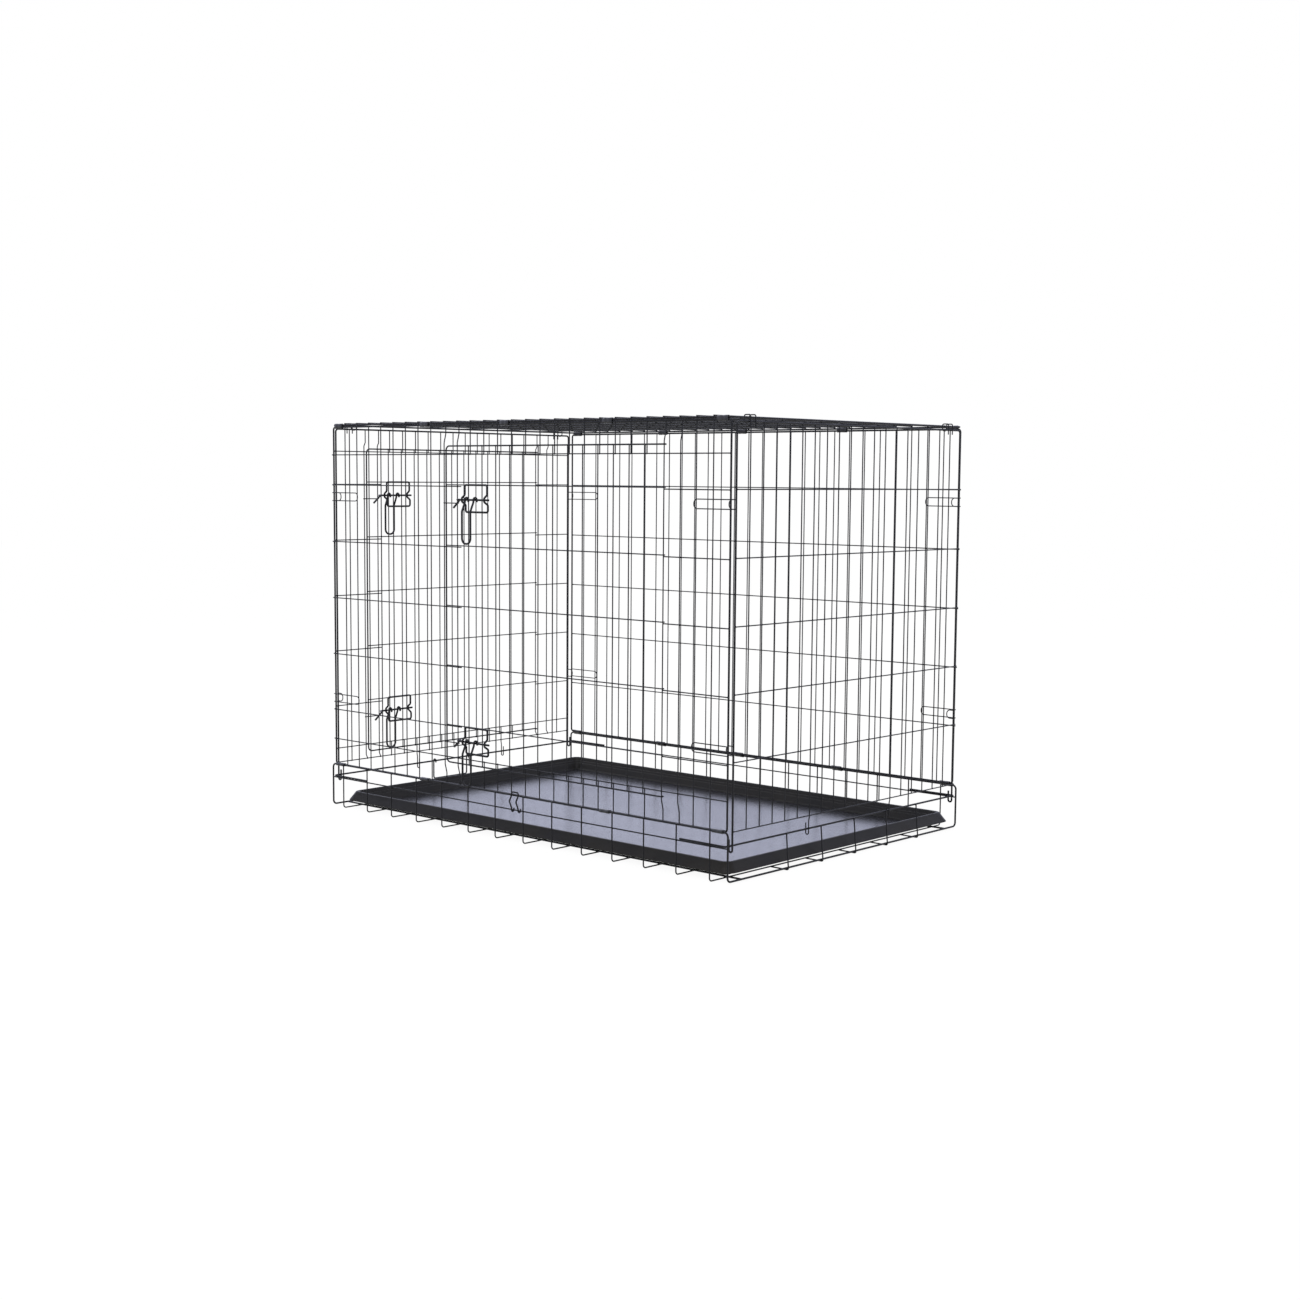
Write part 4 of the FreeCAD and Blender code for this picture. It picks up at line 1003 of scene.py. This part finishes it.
@dataclass
class Studio:
    """A white seamless floor, an even white surround and two soft boxes; lengths in metres."""

    floor_half: float = 14.0
    surround_light: float = 1.1
    gloss_light: float = 1.7
    gloss_colour: str = "#e2e6ff"
    key_watts: float = 60.0
    key_place: Triple = (1.6, -2.4, 3.4)
    fill_watts: float = 25.0
    fill_place: Triple = (-2.6, 1.2, 3.0)
    box_side: float = 2.4
    aim: Triple = (0.0, 0.0, 0.4)

    def floor(self) -> None:
        """Lays the floor under the crate."""
        mesh = bmesh.new()
        bmesh.ops.create_grid(mesh, x_segments=2, y_segments=2, size=self.floor_half)
        data = bpy.data.meshes.new("studio_floor")
        mesh.to_mesh(data)
        mesh.free()
        data.materials.append(StudioPaper().make())
        floor = bpy.data.objects.new("studio_floor", data)
        bpy.context.scene.collection.objects.link(floor)

    def surround(self) -> None:
        """Sets the world: white to the eye and as light, cooler and brighter in gloss."""
        world = bpy.data.worlds.new("studio_surround")
        world.use_nodes = True
        tree = world.node_tree
        tree.nodes.clear()
        path = add_node(tree, "ShaderNodeLightPath", {}, {})
        seen = add_node(tree, "ShaderNodeMath", {"operation": "MAXIMUM"},
                        {0: path.outputs["Is Camera Ray"], 1: path.outputs["Is Transmission Ray"]})
        strength = add_node(tree, "ShaderNodeMapRange", {"To Min": self.surround_light, "To Max": 1.0},
                            {"Value": seen.outputs["Value"]})
        plain = add_node(tree, "ShaderNodeBackground", {"Color": WHITE},
                         {"Strength": strength.outputs["Result"]})
        cool = add_node(tree, "ShaderNodeBackground",
                        {"Color": linear(self.gloss_colour), "Strength": self.gloss_light}, {})
        mix = add_node(tree, "ShaderNodeMixShader", {},
                       {0: path.outputs["Is Glossy Ray"], 1: plain.outputs["Background"],
                        2: cool.outputs["Background"]})
        add_node(tree, "ShaderNodeOutputWorld", {}, {"Surface": mix.outputs["Shader"]})
        bpy.context.scene.world = world

    def soft_box(self, name: str, place: Triple, watts: float) -> None:
        """Hangs one square lamp that points at the crate's middle.

        Args:
            name: The lamp's name.
            place: Where it hangs, in metres.
            watts: Its power.
        """
        data = bpy.data.lights.new(name, "AREA")
        data.energy = watts
        data.size = self.box_side
        lamp = bpy.data.objects.new(name, data)
        lamp.location = Vector(place)
        lamp.rotation_euler = (Vector(self.aim) - Vector(place)).to_track_quat("-Z", "Y").to_euler()
        bpy.context.scene.collection.objects.link(lamp)

    def build(self) -> None:
        """Sets the whole studio up."""
        self.floor()
        self.surround()
        self.soft_box("key_soft_box", self.key_place, self.key_watts)
        self.soft_box("fill_soft_box", self.fill_place, self.fill_watts)
        bpy.context.scene.view_settings.view_transform = "Standard"


def dress_nodes(coat: bpy.types.Material, strap: bpy.types.Material, plastic: bpy.types.Material) -> None:
    """Gives each carried-over CAD node its finish.

    Args:
        coat: The wires' powder coat.
        strap: The hinge straps' coat.
        plastic: The tray's plastic.
    """
    finishes = {RecordSlot.WIRE.value: coat, RecordSlot.CLIP.value: strap, RecordSlot.TRAY.value: plastic}
    for entry in frame["record"]["subparts"]:
        node = frame["nodes"][entry["node"]]
        for slot in node.material_slots:
            slot.material = finishes[entry["material_slot"]]
        LOG.info("%s takes %s", entry["node"], entry["material_slot"])


def build_panels(coat: bpy.types.Material) -> None:
    """Adds the welds of the base, the panels and the doors.

    Args:
        coat: The wires' powder coat.
    """
    front_doorway = Doorway(first=9, spaces=15, low=145.0, high=740.0, post_below=12.0, post_above=18.0)
    left_doorway = Doorway(first=2, spaces=14, low=121.5, high=748.0, post_below=10.0, post_above=10.0)
    BaseTub().build(coat)
    WallPanel(Facing.FRONT, (front_doorway,)).build(coat)
    WallPanel(Facing.BACK).build(coat)
    EndPanel(Facing.LEFT, (left_doorway,)).build(coat)
    EndPanel(Facing.RIGHT).build(coat)
    TopPanel().build(coat)
    WireDoor(Facing.FRONT, "front_door", edge=-176.91, hinge=389.82, first_upright=-115.15,
             pitch=SIZES.side_pitch, uprights=13, low=136.0, high=756.0, levels=SIZES.side_levels,
             lift=3.0).build(coat)
    WireDoor(Facing.LEFT, "left_door", edge=-256.58, hinge=241.37, first_upright=-199.16,
             pitch=SIZES.end_pitch, uprights=12, low=105.5, high=754.0, levels=SIZES.end_levels,
             lift=5.0).build(coat)


def build_straps(strap: bpy.types.Material) -> None:
    """Adds the four rows of hinge straps.

    Args:
        strap: The straps' coat.
    """
    wall, step = SIZES.side_y, SIZES.hinge_step
    low, high = SIZES.side_low, SIZES.side_high
    HingeStraps("front_base_clips", "base", across=-wall - step, height=low, run=step, rise=0.0,
                with_middle=False).build(strap)
    HingeStraps("back_base_clips", "base", across=wall, height=low, run=step, rise=-step,
                with_middle=True).build(strap)
    HingeStraps("front_top_clips", "top_panel", across=-wall, height=high, run=0.0, rise=step,
                with_middle=True).build(strap)
    HingeStraps("back_top_clips", "top_panel", across=wall, height=high, run=0.0, rise=step,
                with_middle=True).build(strap)


def main() -> None:
    """Builds the camera, the studio and every piece, in order."""
    logging.basicConfig(level=logging.INFO, format="%(message)s")
    PhotoCamera().build()
    Studio().build()
    coat, strap, smooth = PowderCoat().make(), CoatedStrap().make(), MouldedPolypropylene().make()
    drawn_colours = ColourRamp("#11100d", "#1b1914", start=0.3, end=0.7)
    grained = MouldedPolypropylene("polypropylene_black_grained", drawn_colours, roughness=0.46,
                                   roughness_swing=0.08, specular=0.14, grain_strength=0.16).make()
    dress_nodes(coat, strap, grained)
    build_panels(coat)
    build_straps(strap)
    TrayPan().build(smooth, grained)


if __name__ == "__main__":
    main()
